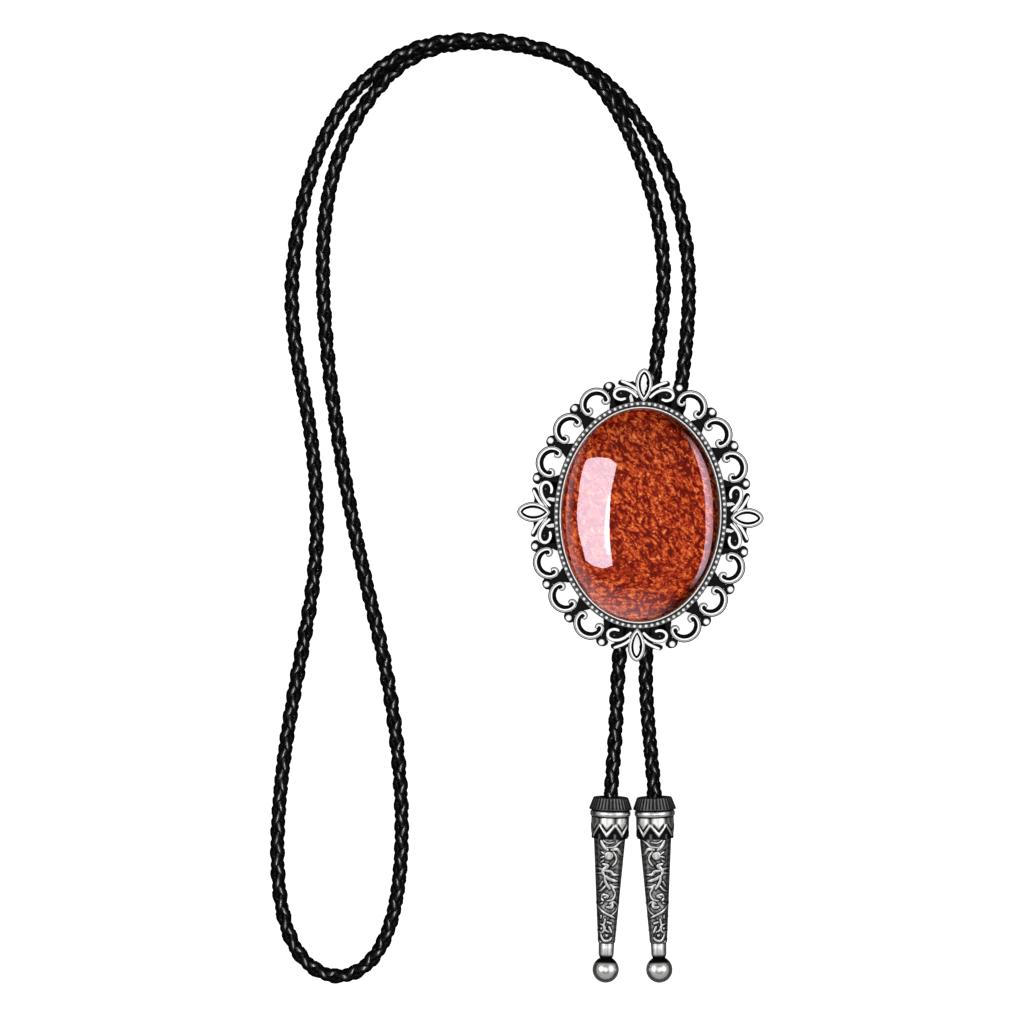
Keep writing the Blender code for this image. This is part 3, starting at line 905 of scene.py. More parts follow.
@dataclass
class Softbox:
    """A bright panel, shaped so that the stone mirrors it where the photograph shows it.

    It spans two edges, given in pixels of the photograph, and may fade from the first to the second
    and towards its ends.
    """

    name: str
    edges: tuple[list[Point], list[Point]]
    strength: float
    colour: Colour
    fade: tuple[float, float] = (1.0, 1.0)
    radius: float = 3.0
    soft_ends: bool = False
    soft_start: float = 0.55
    steps: int = 7

    def build(self, dome: Dome, stone: bpy.types.Object) -> None:
        """Hangs the panel on a sphere round the slide, out of the camera's own sight.

        Args:
            dome: The stone's surface.
            stone: The stone, which alone shows it.
        """
        first, second = (np.array(edge) for edge in self.edges)
        count = len(first)
        ends = np.linspace(-1, 1, count)
        taper = smooth_step(1.0, self.soft_start, np.abs(ends)) if self.soft_ends else np.ones(count)
        corners, glow = [], []
        for share in np.linspace(0, 1, self.steps):
            for pixel in first + share * (second - first):
                place = turned(-SLIDE_TURN, in_scene(pixel))
                normal = turned(SLIDE_TURN, dome.slope(place))
                corners.append(self.radius * (2 * normal[2] * normal - np.array([0.0, 0.0, 1.0])))
            glow.extend(taper * (self.fade[0] + share * (self.fade[1] - self.fade[0])))
        faces = []
        for i in range(self.steps - 1):
            for j in range(count - 1):
                corner = i * count + j
                faces.append((corner, corner + 1, corner + count + 1, corner + count))
        mesh = bpy.data.meshes.new(self.name)
        mesh.from_pydata(corners, [], faces)
        mesh.attributes.new("glow", "FLOAT", "POINT").data.foreach_set("value", glow)
        mesh.materials.append(glowing(self.name, self.colour, self.strength, "glow"))
        panel = bpy.data.objects.new(self.name, mesh)
        bpy.context.scene.collection.objects.link(panel)
        hide_from_camera(panel)
        light_only(panel, [stone])


# Edges, in pixels of the photograph, of the panels that the stone mirrors: two for each, from top to bottom
LEFT_BOX: tuple[list[Point], list[Point]] = (
    [
        (592.0, 456.6), (586.5, 459.3), (583.2, 468.0), (581.2, 476.3), (578.8, 494.7), (576.8, 513.8),
        (578.4, 531.3), (582.8, 549.7), (586.0, 561.6), (593.9, 567.2), (601.9, 569.6),
    ],
    [
        (601.9, 456.0), (612.0, 457.8), (617.8, 462.5), (616.4, 470.0), (611.8, 491.0), (610.3, 513.8),
        (610.3, 533.7), (611.5, 549.7), (612.8, 560.0), (613.6, 567.0), (606.0, 569.6),
    ],
)
LEFT_TUBE: tuple[list[Point], list[Point]] = (
    [(609.0, 494.0), (606.8, 506.0), (605.2, 522.0), (604.8, 540.0), (607.8, 556.0)],
    [(610.9, 494.0), (610.2, 506.0), (609.7, 522.0), (609.9, 540.0), (611.0, 556.0)],
)
RIGHT_BOX: tuple[list[Point], list[Point]] = (
    [
        (682.6, 432.4), (689.6, 443.3), (694.5, 455.2), (700.0, 471.0), (703.5, 489.0), (705.4, 518.7),
        (704.0, 548.5), (700.6, 563.0), (697.6, 572.0), (693.5, 580.0), (688.0, 589.0),
    ],
    [
        (683.8, 432.0), (692.5, 441.5), (700.0, 453.5), (706.5, 468.5), (710.8, 487.5), (712.4, 516.5),
        (711.2, 543.0), (707.0, 562.0), (702.5, 572.0), (697.0, 581.0), (688.8, 590.0),
    ],
)
RIM_BOX: tuple[list[Point], list[Point]] = (
    [
        (601.4, 421.0), (587.0, 435.9), (575.9, 459.0), (568.2, 488.0), (565.8, 516.0), (568.2, 545.9),
        (575.4, 571.9), (587.5, 594.0), (603.4, 609.5), (621.7, 616.8), (644.8, 617.7), (663.1, 612.9),
        (679.0, 601.5),
    ],
    [
        (604.0, 424.0), (592.0, 440.0), (583.0, 462.0), (576.0, 489.0), (573.5, 516.0), (577.0, 543.0),
        (586.5, 565.0), (600.5, 579.0), (616.0, 585.5), (631.0, 587.5), (646.0, 587.5), (661.0, 584.0),
        (673.0, 578.0),
    ],
)


@dataclass
class Stone:
    """The goldstone cabochon, with painted shade in its base colour: darker at its right rim and towards
    its top.
    """

    goldstone: bpy.types.Material
    dome: Dome
    painted_rim_shade: float = 0.8
    rim_span: tuple[float, float] = (0.86, 0.95)
    right_span: tuple[float, float] = (-0.1, 0.5)
    painted_top_shade: float = 0.26
    top_span: tuple[float, float] = (0.3, 0.8)

    def build(self) -> bpy.types.Object:
        """Makes the stone over the CAD stone's place.

        Returns:
            The stone.
        """
        flat = self.dome.rows()
        across = flat[..., 0] / self.dome.half_width
        up = flat[..., 1] / self.dome.half_length
        # Painted shade: the base colour is darkened near the right rim and towards the top.
        rim = smooth_step(*self.rim_span, np.hypot(across, up))
        painted_shade = 1 - self.painted_rim_shade * rim * smooth_step(*self.right_span, across)
        painted_shade *= 1 - self.painted_top_shade * smooth_step(*self.top_span, up)
        rows = turned(SLIDE_TURN, flat)
        rows[..., 2] += STONE_BASE
        skin = Skin()
        skin.add_grid(rows, painted_shade)
        piece = skin.to_object("cabochon", self.goldstone, 60)
        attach(piece, "root")
        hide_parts("stone")
        width, length = 2 * self.dome.half_width / MM, 2 * self.dome.half_length / MM
        LOG.info("stone: %.1f x %.1f mm", width, length)
        return piece


@dataclass
class Rail:
    """The oval line on which the border's scrolls stand, measured clockwise from the top."""

    dome: Dome
    offset: float = 4.9 * MM
    steps: int = 1440

    def __post_init__(self) -> None:
        """Tabulates the arc length against the ellipse angle."""
        self.turns = np.linspace(0, 2 * math.pi, self.steps + 1)
        points = self.dome.outline(self.turns, self.offset)
        self.arcs = np.concatenate([[0], np.cumsum(np.linalg.norm(np.diff(points, axis=0), axis=1))])
        self.length = self.arcs[-1]

    def at(self, arc: np.ndarray, out: np.ndarray) -> np.ndarray:
        """Flat points that lie arc along the rail and out from it.

        Args:
            arc: Distances along the rail.
            out: Distances outwards.

        Returns:
            Points of shape (..., 2).
        """
        turn = np.interp(np.mod(arc, self.length), self.arcs, self.turns)
        inner, outer = self.dome.outline(turn, self.offset), self.dome.outline(turn, self.offset + 1)
        return inner + np.asarray(out)[..., None] * (outer - inner)

    def frame(self, arc: float) -> tuple[np.ndarray, np.ndarray, np.ndarray]:
        """Origin, along and outward directions at arc.

        Args:
            arc: The distance along the rail.

        Returns:
            Three flat vectors.
        """
        origin, outer = self.at(arc, 0.0), self.at(arc, 1.0)
        outward = outer - origin
        return origin, np.array([outward[1], -outward[0]]), outward


@dataclass(frozen=True)
class Section:
    """The cross-section of a bar: places across it, heights and brightness."""

    across: tuple[float, ...]
    rise: tuple[float, ...]
    shine: tuple[float, ...]


WIRE = Section(
    (-1.0, -1.0, -0.86, -0.66, -0.30, 0.0, 0.30, 0.66, 0.86, 1.0, 1.0),
    (0.0, 0.80, 0.92, 0.98, 0.995, 1.0, 0.995, 0.98, 0.92, 0.80, 0.0),
    (0.55, 0.35, 0.30, 0.90, 1.0, 1.0, 1.0, 0.90, 0.30, 0.35, 0.55),
)
RIM = Section(
    (-1.0, -1.0, -0.95, -0.84, -0.50, -0.14, -0.06, 0.06, 0.14, 0.40, 0.54, 0.68, 1.0, 1.0),
    (0.0, 0.78, 0.92, 0.99, 1.0, 0.985, 0.93, 0.92, 0.955, 0.96, 0.945, 0.88, 0.78, 0.0),
    (0.50, 0.25, 0.30, 0.95, 1.0, 0.95, 0.38, 0.30, 0.70, 0.74, 0.55, 0.25, 0.32, 0.60),
)
SLOPE = Section((-1.0, -1.0, -0.8, 1.0, 1.0), (0.0, 0.55, 0.62, 1.0, 0.0), (0.05, 0.15, 0.0, 0.0, 0.0))

OUTER_BEAD = Bead(0.90 * MM, 1.30 * MM, 0.28 * MM)
CURL_BEAD = Bead(0.42 * MM, 0.80 * MM, 0.85 * MM)
PIP = Bead(0.34 * MM, 0.90 * MM, 0.40 * MM, 0.55)
LEDGE_BEAD = Bead(0.58 * MM, 1.72 * MM, 0.25 * MM, 0.82)


@dataclass(frozen=True)
class Stroke:
    """A raised line: points in millimetres and its width."""

    points: list[Point]
    width: float


@dataclass(frozen=True)
class Loop:
    """The pointed loop of an end ornament: how far out its centre stands, and its half width."""

    middle: float
    half_width: float


END_LOOP = Loop(0.95 * MM, 1.68 * MM)
SIDE_LOOP = Loop(1.90 * MM, 1.98 * MM)


@dataclass
class Border:
    """The pierced border: scrolls, junction webs with beads, and four end ornaments."""

    rail: Rail
    skin: Skin = field(default_factory=Skin)
    pitch: float = 9.35 * MM
    scrolls: int = 3
    top: float = 1.75 * MM
    web_top: float = 0.95 * MM
    under: float = 0.15 * MM
    step: float = 0.1 * MM
    bevel: float = 0.12 * MM
    flank_tones: tuple[float, float] = (0.55, 0.35)
    wire_width: float = 1.06 * MM
    wire_taper: float = 0.42
    scroll_radius: float = 3.34 * MM
    scroll_stretch: float = 1.09
    scroll_reach: float = math.radians(108)
    hook_radius: float = 0.92 * MM
    hook_end_radius: float = 0.70 * MM
    hook_turn: float = math.radians(205)
    floor_radius: float = 0.80 * MM
    crescent: float = 1.15 * MM
    crescent_top: float = 1.15 * MM
    crescent_taper: float = 0.60
    crescent_gap: float = 0.34 * MM
    crescent_reach: float = math.radians(122)
    loop_half_length: float = 3.75 * MM
    loop_width: float = 0.92 * MM
    loop_power: float = 1.42
    loop_point: float = 0.22
    loop_inner: float = 0.66
    loop_inner_width: float = 0.75 * MM
    loop_inner_top: float = 1.1 * MM
    stroke_taper: float = 0.25

    def bar(
        self, path: np.ndarray, width: np.ndarray | float, section: Section, top: float, loop: bool = False
    ) -> None:
        """Adds a bar along a flat path in the slide's own frame.

        Args:
            path: Flat points of the bar's middle line.
            width: Its width at each of them, or one for all.
            section: The cross-section. Its +1 side is to the left of the direction of travel.
            top: Its height over the setting's back.
            loop: Whether the bar closes on itself.
        """
        ahead = np.roll(path, -1, axis=0) - path
        behind = path - np.roll(path, 1, axis=0)
        if not loop:
            ahead[-1], behind[0] = behind[-1], ahead[0]
        along = unit(unit(ahead) + unit(behind))
        mitre = np.maximum(np.sum(along * unit(ahead), axis=1), 0.5)
        left = np.stack([-along[:, 1], along[:, 0]], axis=1)
        half = np.broadcast_to(width, len(path)) / 2 / mitre
        flat = path[:, None] + (half[:, None] * np.array(section.across))[..., None] * left[:, None]
        high = self.under + np.array(section.rise) * (top - self.under)
        rows = np.concatenate([flat, np.broadcast_to(high[None, :, None], (*flat.shape[:2], 1))], axis=2)
        self.skin.add_grid(rows, np.array(section.shine)[None], loop)

    def plate(self, outline: np.ndarray, top: float, tone: float = Tone.RECESS) -> None:
        """Adds a flat plate with a softened upper edge.

        Args:
            outline: Its flat outline.
            top: Its height.
            tone: The brightness of its top.
        """
        middle = outline.mean(axis=0)
        rings = []
        steps = ((1.0, self.under), (1.0, top - self.bevel), (0.94, top), (0.5, top), (0.02, top))
        for share, high in steps:
            flat = middle + share * (outline - middle)
            rings.append(np.column_stack([flat, np.full(len(flat), high)]))
        shine = np.array([*self.flank_tones, tone, tone, tone])[:, None]
        self.skin.add_grid(np.stack(rings), shine)

    def scroll_line(self) -> np.ndarray:
        """The C scroll's wire in its own frame: a round back with its ends curled in.

        Returns:
            Flat points.
        """
        arc = np.linspace(-self.scroll_reach, self.scroll_reach, 33)
        back = self.scroll_radius * np.column_stack([np.sin(arc), np.cos(arc)])
        turns = np.linspace(0, 1, 15)[1:]
        radii = self.hook_radius + (self.hook_end_radius - self.hook_radius) * turns
        heading = self.scroll_reach + self.hook_turn * turns
        step = self.hook_turn / len(turns)
        moves = step * radii[:, None] * np.column_stack([np.cos(heading), -np.sin(heading)])
        hook = back[-1] + np.cumsum(moves, axis=0)
        return np.concatenate([hook[::-1] * (-1, 1), back, hook])

    def scroll(self, arc: float) -> None:
        """Adds one C scroll with the dark crescent inside its back and the dark floors of its hooks.

        Args:
            arc: Its place along the rail.
        """
        origin, along, outward = self.rail.frame(arc)
        along = along * self.scroll_stretch
        line = self.scroll_line()
        path = origin + line[:, :1] * along + line[:, 1:] * outward
        share = np.abs(np.linspace(-1, 1, len(path)))
        self.bar(path, self.wire_width * (1 - self.wire_taper * share**2.5), RIM, self.top)
        angle = np.linspace(-1, 1, 25)
        thick = self.crescent * (1 - self.crescent_taper * np.abs(angle) ** 2.2)
        radius = self.scroll_radius - self.crescent_gap - thick / 2
        turn = angle * self.crescent_reach
        inner = radius[:, None] * np.column_stack([np.sin(turn), np.cos(turn)])
        self.bar(origin + inner[:, :1] * along + inner[:, 1:] * outward, thick, SLOPE, self.crescent_top)
        reach = self.scroll_radius - self.hook_radius
        around = np.linspace(0, 2 * math.pi, 16, endpoint=False)
        ring = self.floor_radius * np.column_stack([np.sin(around), np.cos(around)])
        for side in (-1, 1):
            middle = reach * np.array([side * math.sin(self.scroll_reach), math.cos(self.scroll_reach)])
            floor = ring[::-1] + middle
            self.plate(origin + floor[:, :1] * along + floor[:, 1:] * outward, self.web_top)

    def bent(self, points: Sequence[Point], station: float, side: int = 1) -> np.ndarray:
        """Carries (along, out) millimetres to the border round a station. side -1 mirrors them."""
        table = np.array(points) * MM
        return self.rail.at(station + side * table[:, 0], table[:, 1])

    def smooth(self, points: Sequence[Point], count: int = 26) -> np.ndarray:
        """Rounds a short list of points into an even curve."""
        route = Route([(x, y, 1.0) for x, y in points], floor=0.0)
        return route.sample(count)[:, :2]

    def junction(self, station: float) -> None:
        """Adds the dark web between two scrolls and its outer bead.

        Args:
            station: Its place along the rail.
        """
        self.plate(self.mirrored(JUNCTION_WEB, station), self.web_top)
        self.plate(self.mirrored(BEAD_BASE, station), self.web_top + self.step)
        self.skin.add_bead(self.bent([OUTER_BEAD_PLACE], station)[0], OUTER_BEAD)

    def mirrored(self, half: Sequence[Point], station: float) -> np.ndarray:
        """A symmetrical outline round a station from its right-hand half."""
        return np.concatenate([self.bent(half, station), self.bent(list(reversed(half)), station, -1)])

    def loop_line(self, loop: Loop, scale: float, count: int = 40) -> np.ndarray:
        """A pointed oval, blunter at its outer end.

        Args:
            loop: Its place and half width.
            scale: Its width as a share of the loop's.
            count: How many points.

        Returns:
            Points in millimetres, along and out.
        """
        turn = np.linspace(0.5 * math.pi, -1.5 * math.pi, count, endpoint=False)
        power = self.loop_power - self.loop_point * np.sin(turn)
        wide = scale * loop.half_width * np.sign(np.cos(turn)) * np.abs(np.cos(turn)) ** power
        long = loop.middle + (0.5 + 0.5 * scale) * self.loop_half_length * np.sin(turn)
        return np.column_stack([wide, long]) / MM

    def ornament(self, station: float, loop: Loop) -> None:
        """Adds one end ornament: pointed loop, leaves, volutes and the dark web behind them.

        Args:
            station: Its place along the rail.
            loop: Its loop.
        """
        outer, inner = (self.bent(self.loop_line(loop, scale), station) for scale in (1.0, self.loop_inner))
        self.bar(outer, self.loop_width, RIM, self.top + self.step, True)
        self.bar(inner, self.loop_inner_width, SLOPE, self.loop_inner_top, True)
        self.plate(self.mirrored(MIDDLE_WEB, station), self.web_top)
        for side in (1, -1):
            for stroke in (VOLUTE, LEAF):
                path = self.bent(self.smooth(stroke.points), station, side)[::side]
                share = np.abs(np.linspace(-1, 1, len(path)))
                self.bar(path, stroke.width * MM * (1 - self.stroke_taper * share**4), WIRE, self.top)
                self.skin.add_bead(self.bent(stroke.points[-1:], station, side)[0], CURL_BEAD)
            self.plate(self.bent(LEAF_BODY, station, side)[::side], self.web_top + 2 * self.step)
            self.plate(self.bent(SIDE_WEB, station, side)[::side], self.web_top)
            self.skin.add_bead(self.bent([PIP_PLACE], station, side)[0], PIP)

    def build(self) -> Skin:
        """Adds every scroll, junction and ornament.

        Returns:
            The mesh so far.
        """
        quarter = self.rail.length / 4
        for k in range(4):
            first = (k + 0.5) * quarter - self.pitch * (self.scrolls - 1) / 2
            for i in range(self.scrolls):
                self.scroll(first + i * self.pitch)
            for i in range(self.scrolls + 1):
                self.junction(first + (i - 0.5) * self.pitch)
            self.ornament(k * quarter, SIDE_LOOP if k % 2 else END_LOOP)
        return self.skin


# Right-hand halves of an end ornament and of a junction, in millimetres along the rail and out from it
VOLUTE = Stroke(
    [
        (1.7, -2.1), (2.7, -1.0), (3.9, 0.0), (5.3, 0.65), (6.5, 0.72), (7.45, 0.2), (7.65, -0.65),
        (7.1, -1.5), (6.1, -1.95), (5.1, -1.9),
    ],
    0.98,
)
LEAF = Stroke([(1.6, -0.4), (2.3, 0.4), (3.65, 1.5), (5.1, 2.55)], 0.95)
LEAF_BODY: list[Point] = [
    (1.5, -0.9), (2.6, -0.15), (3.9, 0.75), (5.3, 1.35), (6.0, 2.0), (5.8, 2.7), (5.2, 2.95),
    (4.0, 2.3), (3.2, 2.0), (2.5, 2.1), (1.6, 1.0),
]
MIDDLE_WEB: list[Point] = [(3.0, -3.7), (3.0, -2.4), (3.3, -1.2), (2.0, -1.1), (1.0, -1.7)]
SIDE_WEB: list[Point] = [
    (3.95, -3.7), (3.95, -1.7), (3.3, -0.9), (4.0, -0.1), (5.2, 0.5), (6.6, 0.6), (7.6, 0.1),
    (8.3, -1.5), (8.4, -3.7),
]
JUNCTION_WEB: list[Point] = [(2.5, -3.7), (2.1, -2.7), (1.2, -1.5), (0.7, -0.3), (0.6, 0.8), (0.8, 1.6)]
BEAD_BASE: list[Point] = [(0.7, 0.9), (1.45, 1.55), (1.45, 2.3), (0.95, 3.05), (0.35, 3.35)]
PIP_PLACE: Point = (5.9, -0.4)
OUTER_BEAD_PLACE: Point = (0.0, 2.35)

# Outline of the stone's cup from its lip down the back: millimetres outside the stone, height, brightness
CUP_OUTLINE: list[Point] = [
    (0.30, 1.00, 0.0), (0.12, 1.30, 0.1), (0.05, 2.60, 0.3), (0.10, 2.78, 0.75), (0.24, 2.82, 0.85),
    (0.38, 2.78, 0.75), (0.46, 2.55, 0.3), (0.52, 1.90, 0.0), (0.60, 1.66, 0.3), (1.70, 1.60, 0.42),
    (1.86, 1.30, 0.4), (1.88, 0.20, 0.6), (1.50, 0.00, 0.3),
]


@dataclass
class Cup:
    """The stone's cup: thin lip, groove, beaded edge, ledge and back plate."""

    dome: Dome
    skin: Skin
    sides: int = 240
    bead_offset: float = 1.20 * MM
    bead_pitch: float = 1.47 * MM

    def ring(self) -> None:
        """Adds the turned oval wall round the stone."""
        turn = np.linspace(0, 2 * math.pi, self.sides, endpoint=False)
        rings = []
        for offset, high, _ in CUP_OUTLINE:
            flat = self.dome.outline(turn, offset * MM)
            rings.append(np.column_stack([flat, np.full(len(turn), high * MM)]))
        self.skin.add_grid(np.stack(rings), np.array([shine for *_, shine in CUP_OUTLINE])[:, None])

    def beads(self) -> None:
        """Adds the row of small beads on the ledge."""
        rail = Rail(self.dome, self.bead_offset)
        count = round(rail.length / self.bead_pitch)
        for place in rail.length * np.arange(count) / count:
            self.skin.add_bead(rail.at(place, 0.0), LEDGE_BEAD)

    def build(self) -> None:
        """Adds the wall and the beads."""
        self.ring()
        self.beads()


@dataclass
class Setting:
    """The whole cast slide, in one mesh as it is one casting."""

    silver: bpy.types.Material
    dome: Dome
    sharp: float = 38.0

    def build(self) -> bpy.types.Object:
        """Makes the setting over the CAD setting's place.

        Returns:
            The setting.
        """
        skin = Border(Rail(self.dome)).build()
        Cup(self.dome, skin).build()
        for points in skin.points:
            points[:] = turned(SLIDE_TURN, points)
            points[:, 2] += SETTING_BASE
        piece = skin.to_object("cast_setting", self.silver, self.sharp)
        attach(piece, "root")
        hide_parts("setting")
        LOG.info("setting: %d faces", len(skin.faces))
        return piece


# Relief on the left tip's upper side: sine of the angle from its top line, and millimetres along its body
VINES: list[Stroke] = [
    Stroke([(-0.57, 0.5), (-0.41, 1.7), (-0.11, 2.8)], 0.62),
    Stroke([(-0.41, 0.3), (-0.05, 1.0), (0.31, 0.7)], 0.30),
    Stroke([(-0.14, 2.1), (0.23, 2.0), (0.57, 1.1), (0.90, 0.3)], 0.40),
    Stroke([(0.13, 2.7), (0.45, 2.5), (0.68, 3.3), (0.93, 4.1)], 0.60),
    Stroke([(0.25, 3.2), (0.47, 4.4), (0.46, 5.7), (0.25, 6.7)], 0.42),
    Stroke([(-0.44, 6.3), (-0.12, 6.6), (-0.38, 7.7), (-0.34, 9.1)], 0.62),
    Stroke([(-0.56, 3.2), (-0.31, 3.8)], 0.30),
    Stroke([(-0.61, 4.8), (-0.33, 4.4)], 0.32),
    Stroke([(-0.38, 5.4), (-0.60, 5.9)], 0.30),
    Stroke([(-0.95, 7.4), (-0.49, 7.6)], 0.40),
    Stroke([(-0.95, 8.8), (-0.49, 8.6)], 0.38),
    Stroke([(-0.25, 8.0), (0.11, 8.1), (0.35, 8.9), (0.74, 9.0)], 0.55),
    Stroke([(-0.21, 9.3), (0.19, 10.2), (0.69, 10.6)], 0.56),
    Stroke([(-0.28, 9.3), (-0.23, 10.7), (0.0, 12.0), (0.12, 12.6)], 0.48),
    Stroke([(0.15, 11.4), (0.48, 12.1), (0.90, 12.1)], 0.50),
    Stroke([(-0.45, 10.7), (-0.68, 12.0)], 0.40),
    Stroke([(-0.23, 11.8), (-0.61, 13.0), (-0.85, 13.3)], 0.38),
    Stroke([(0.30, 12.3), (0.57, 13.5), (0.53, 14.6), (0.29, 15.3), (-0.05, 15.5)], 0.44),
    Stroke([(-0.54, 14.65), (-0.34, 14.0), (-0.07, 14.2), (-0.10, 14.65), (-0.30, 14.75)], 0.44),
    Stroke([(-0.57, 15.1), (-0.40, 15.5)], 0.46),
    Stroke([(-0.99, 16.1), (-0.80, 17.3), (-0.44, 18.3), (0.04, 19.0), (0.73, 19.9)], 0.42),
    Stroke([(-0.06, 17.1), (0.22, 17.2), (0.41, 16.7), (0.28, 16.1)], 0.60),
    Stroke([(0.13, 16.3), (0.45, 15.8), (0.79, 16.5), (0.85, 17.6), (0.62, 18.6), (0.42, 19.0)], 0.36),
    Stroke([(-0.70, 16.4), (-0.45, 16.1)], 0.30),
    Stroke([(-0.60, 19.3), (-0.60, 20.0)], 0.42),
    Stroke([(-0.97, 19.6), (-0.87, 20.2)], 0.34),
    Stroke([(-0.20, 20.1), (-0.29, 21.3), (-0.34, 22.0), (-0.13, 23.0), (0.20, 23.4)], 0.40),
    Stroke([(0.0, 20.9), (0.43, 21.3)], 0.44),
    Stroke([(0.18, 22.0), (0.50, 23.6)], 0.42),
    Stroke([(-0.74, 21.4), (-0.37, 21.8), (-0.26, 22.8), (-0.60, 23.6), (-0.98, 23.1)], 0.36),
    Stroke([(-0.68, 23.9), (-0.50, 25.1), (-0.14, 25.7), (0.31, 25.4), (0.50, 24.8)], 0.46),
    Stroke([(-0.96, 25.5), (-0.69, 26.1)], 0.44),
]
BUDS: list[Point] = [(-0.02, 4.2, 0.78), (-0.60, 22.6, 0.26), (0.0, 24.3, 0.26)]


@dataclass
class CastTip:
    """One cast tip: ribbed collar, plain ring, chevron band, tapered body wound with vines, neck and ball.

    Sizes are in millimetres. Distances run from the mouth of the socket down the tip.
    """

    silver: bpy.types.Material
    node: str
    hand: Hand
    place: Point
    swing: float = math.radians(-1.7)
    sides: int = 128
    socket_depth: float = 8.0
    socket_radius: float = 2.3
    collar_length: float = 3.0
    mouth_radius: float = 4.45
    collar_radius: float = 5.35
    ribs: int = 34
    rib_height: float = 0.12
    rib_rows: int = 8
    rows_to_ribs: int = 5
    ring_end: float = 4.8
    ring_radius: float = 5.05
    band_end: float = 10.3
    band_radius: float = 4.8
    lobes: int = 7
    lobe_start: float = math.radians(-10)
    lobe_edge: tuple[float, float] = (4.75, 2.75)
    groove_edge: tuple[float, float] = (3.55, 2.4)
    edge_slant: float = 0.62
    body_end: float = 36.5
    body_radii: tuple[float, float] = (4.1, 2.3)
    neck_end: float = 40.3
    neck_radius: float = 1.95
    ball_radius: float = 3.3
    relief: float = 0.3
    vine_swell: float = 1.3
    vine_taper: float = 0.4
    vine_reach: float = 1.5
    ground_tone: float = 0.53
    ground_mottle: float = 0.22
    ground_shade: float = 0.42

    def profile(self) -> np.ndarray:
        """The turned outline.

        Returns:
            Rows of distance, radius and brightness, from the bottom of the socket to the end of the ball.
        """
        mouth, collar = self.mouth_radius, self.collar_radius
        rows = [(self.socket_depth, self.socket_radius, 0.0), (0.3, self.socket_radius, 0.0)]
        rows += [(0.0, self.socket_radius + 0.2, 0.1), (0.0, mouth - 0.35, 0.35), (0.1, mouth - 0.12, 0.3)]
        foot = self.collar_length
        for share in np.linspace(0, 1, self.rib_rows):
            reach = mouth + share * (collar - mouth) - self.rib_height
            rows.append((0.3 + share * (foot - 0.55), reach, 0.0))
        rows += [(foot - 0.15, collar, 0.5), (foot, collar, 0.25)]
        rows += [(foot + 0.1, collar - 0.1, 0.0), (foot + 0.25, collar - 0.6, 0.0)]
        middle = (foot + 0.35 + self.ring_end) / 2
        for turn in np.radians(np.linspace(-90, 90, 11)):
            reach = self.ring_radius - 0.35 * (1 - math.cos(turn))
            tone = float(smooth_step(0.05, 0.5, np.array(math.cos(turn))))
            rows.append((middle + (self.ring_end - middle) * math.sin(turn), reach, tone))
        rows.append((self.ring_end + 0.1, self.band_radius - self.relief, 0.0))
        for place in np.linspace(self.ring_end + 0.15, self.band_end, 40):
            rows.append((place, self.band_radius - self.relief, 0.0))
        top, end = self.body_radii
        length = self.body_end - self.band_end
        for share in np.linspace(0.005, 1, 168):
            radius = top + share * (end - top) - 0.5 * self.relief
            rows.append((self.band_end + share * length, radius, 0.0))
        neck = self.neck_radius
        turned_neck = ((0.1, -0.1, 0.2), (0.25, 0.0, 0.85), (1.5, -0.02, 0.85), (2.9, -0.06, 0.85))
        rows += [(self.body_end + step, neck + out, tone) for step, out, tone in turned_neck]
        rows += [(self.neck_end - 0.55, neck - 0.12, 0.5), (self.neck_end - 0.2, neck - 0.3, 0.0)]
        centre = self.ball_place()
        # The ball is dark next to the neck: partly oxide in the joint, partly painted shade from the neck.
        for turn in np.radians(np.linspace(-62, 89.5, 24)):
            tone = float(smooth_step(-0.72, -0.42, np.array(math.sin(turn))))
            place = centre + self.ball_radius * math.sin(turn)
            rows.append((place, self.ball_radius * math.cos(turn), tone))
        return np.array(rows)

    def ball_place(self) -> float:
        """How far the ball's middle lies from the mouth."""
        return self.neck_end + 0.92 * self.ball_radius

    def chevrons(self, angle: np.ndarray, place: np.ndarray) -> tuple[np.ndarray, np.ndarray]:
        """Height and brightness of the band: lobes that end in double points.

        Args:
            angle: Angle from the top line.
            place: Distance from the band's start.

        Returns:
            Heights as shares of the relief, and brightness.
        """
        lobe = (angle - self.lobe_start) * self.lobes / (2 * math.pi)
        across = np.abs(2 * (lobe - np.round(lobe)))
        gap = (place - (self.lobe_edge[0] - self.lobe_edge[1] * across)) * self.edge_slant
        line = smooth_step(0.34, 0.16, np.abs(gap))
        inner = (place - (self.groove_edge[0] - self.groove_edge[1] * across)) * self.edge_slant
        groove = smooth_step(0.30, 0.14, np.abs(inner)) * smooth_step(0.72, 0.58, across)
        field_tone = smooth_step(1.3, 0.40, across) * smooth_step(0.0, 0.5, place) * (gap < 0)
        under = 0.45 * smooth_step(0.72, 0.9, across) * smooth_step(3.9, 4.4, place) * (gap > 0.3)
        height = np.maximum(line, np.where(gap < 0, 0.75 - 0.6 * groove, 0.15))
        return height, np.clip(np.maximum(line, field_tone * (1 - groove)) + under, 0, 1)

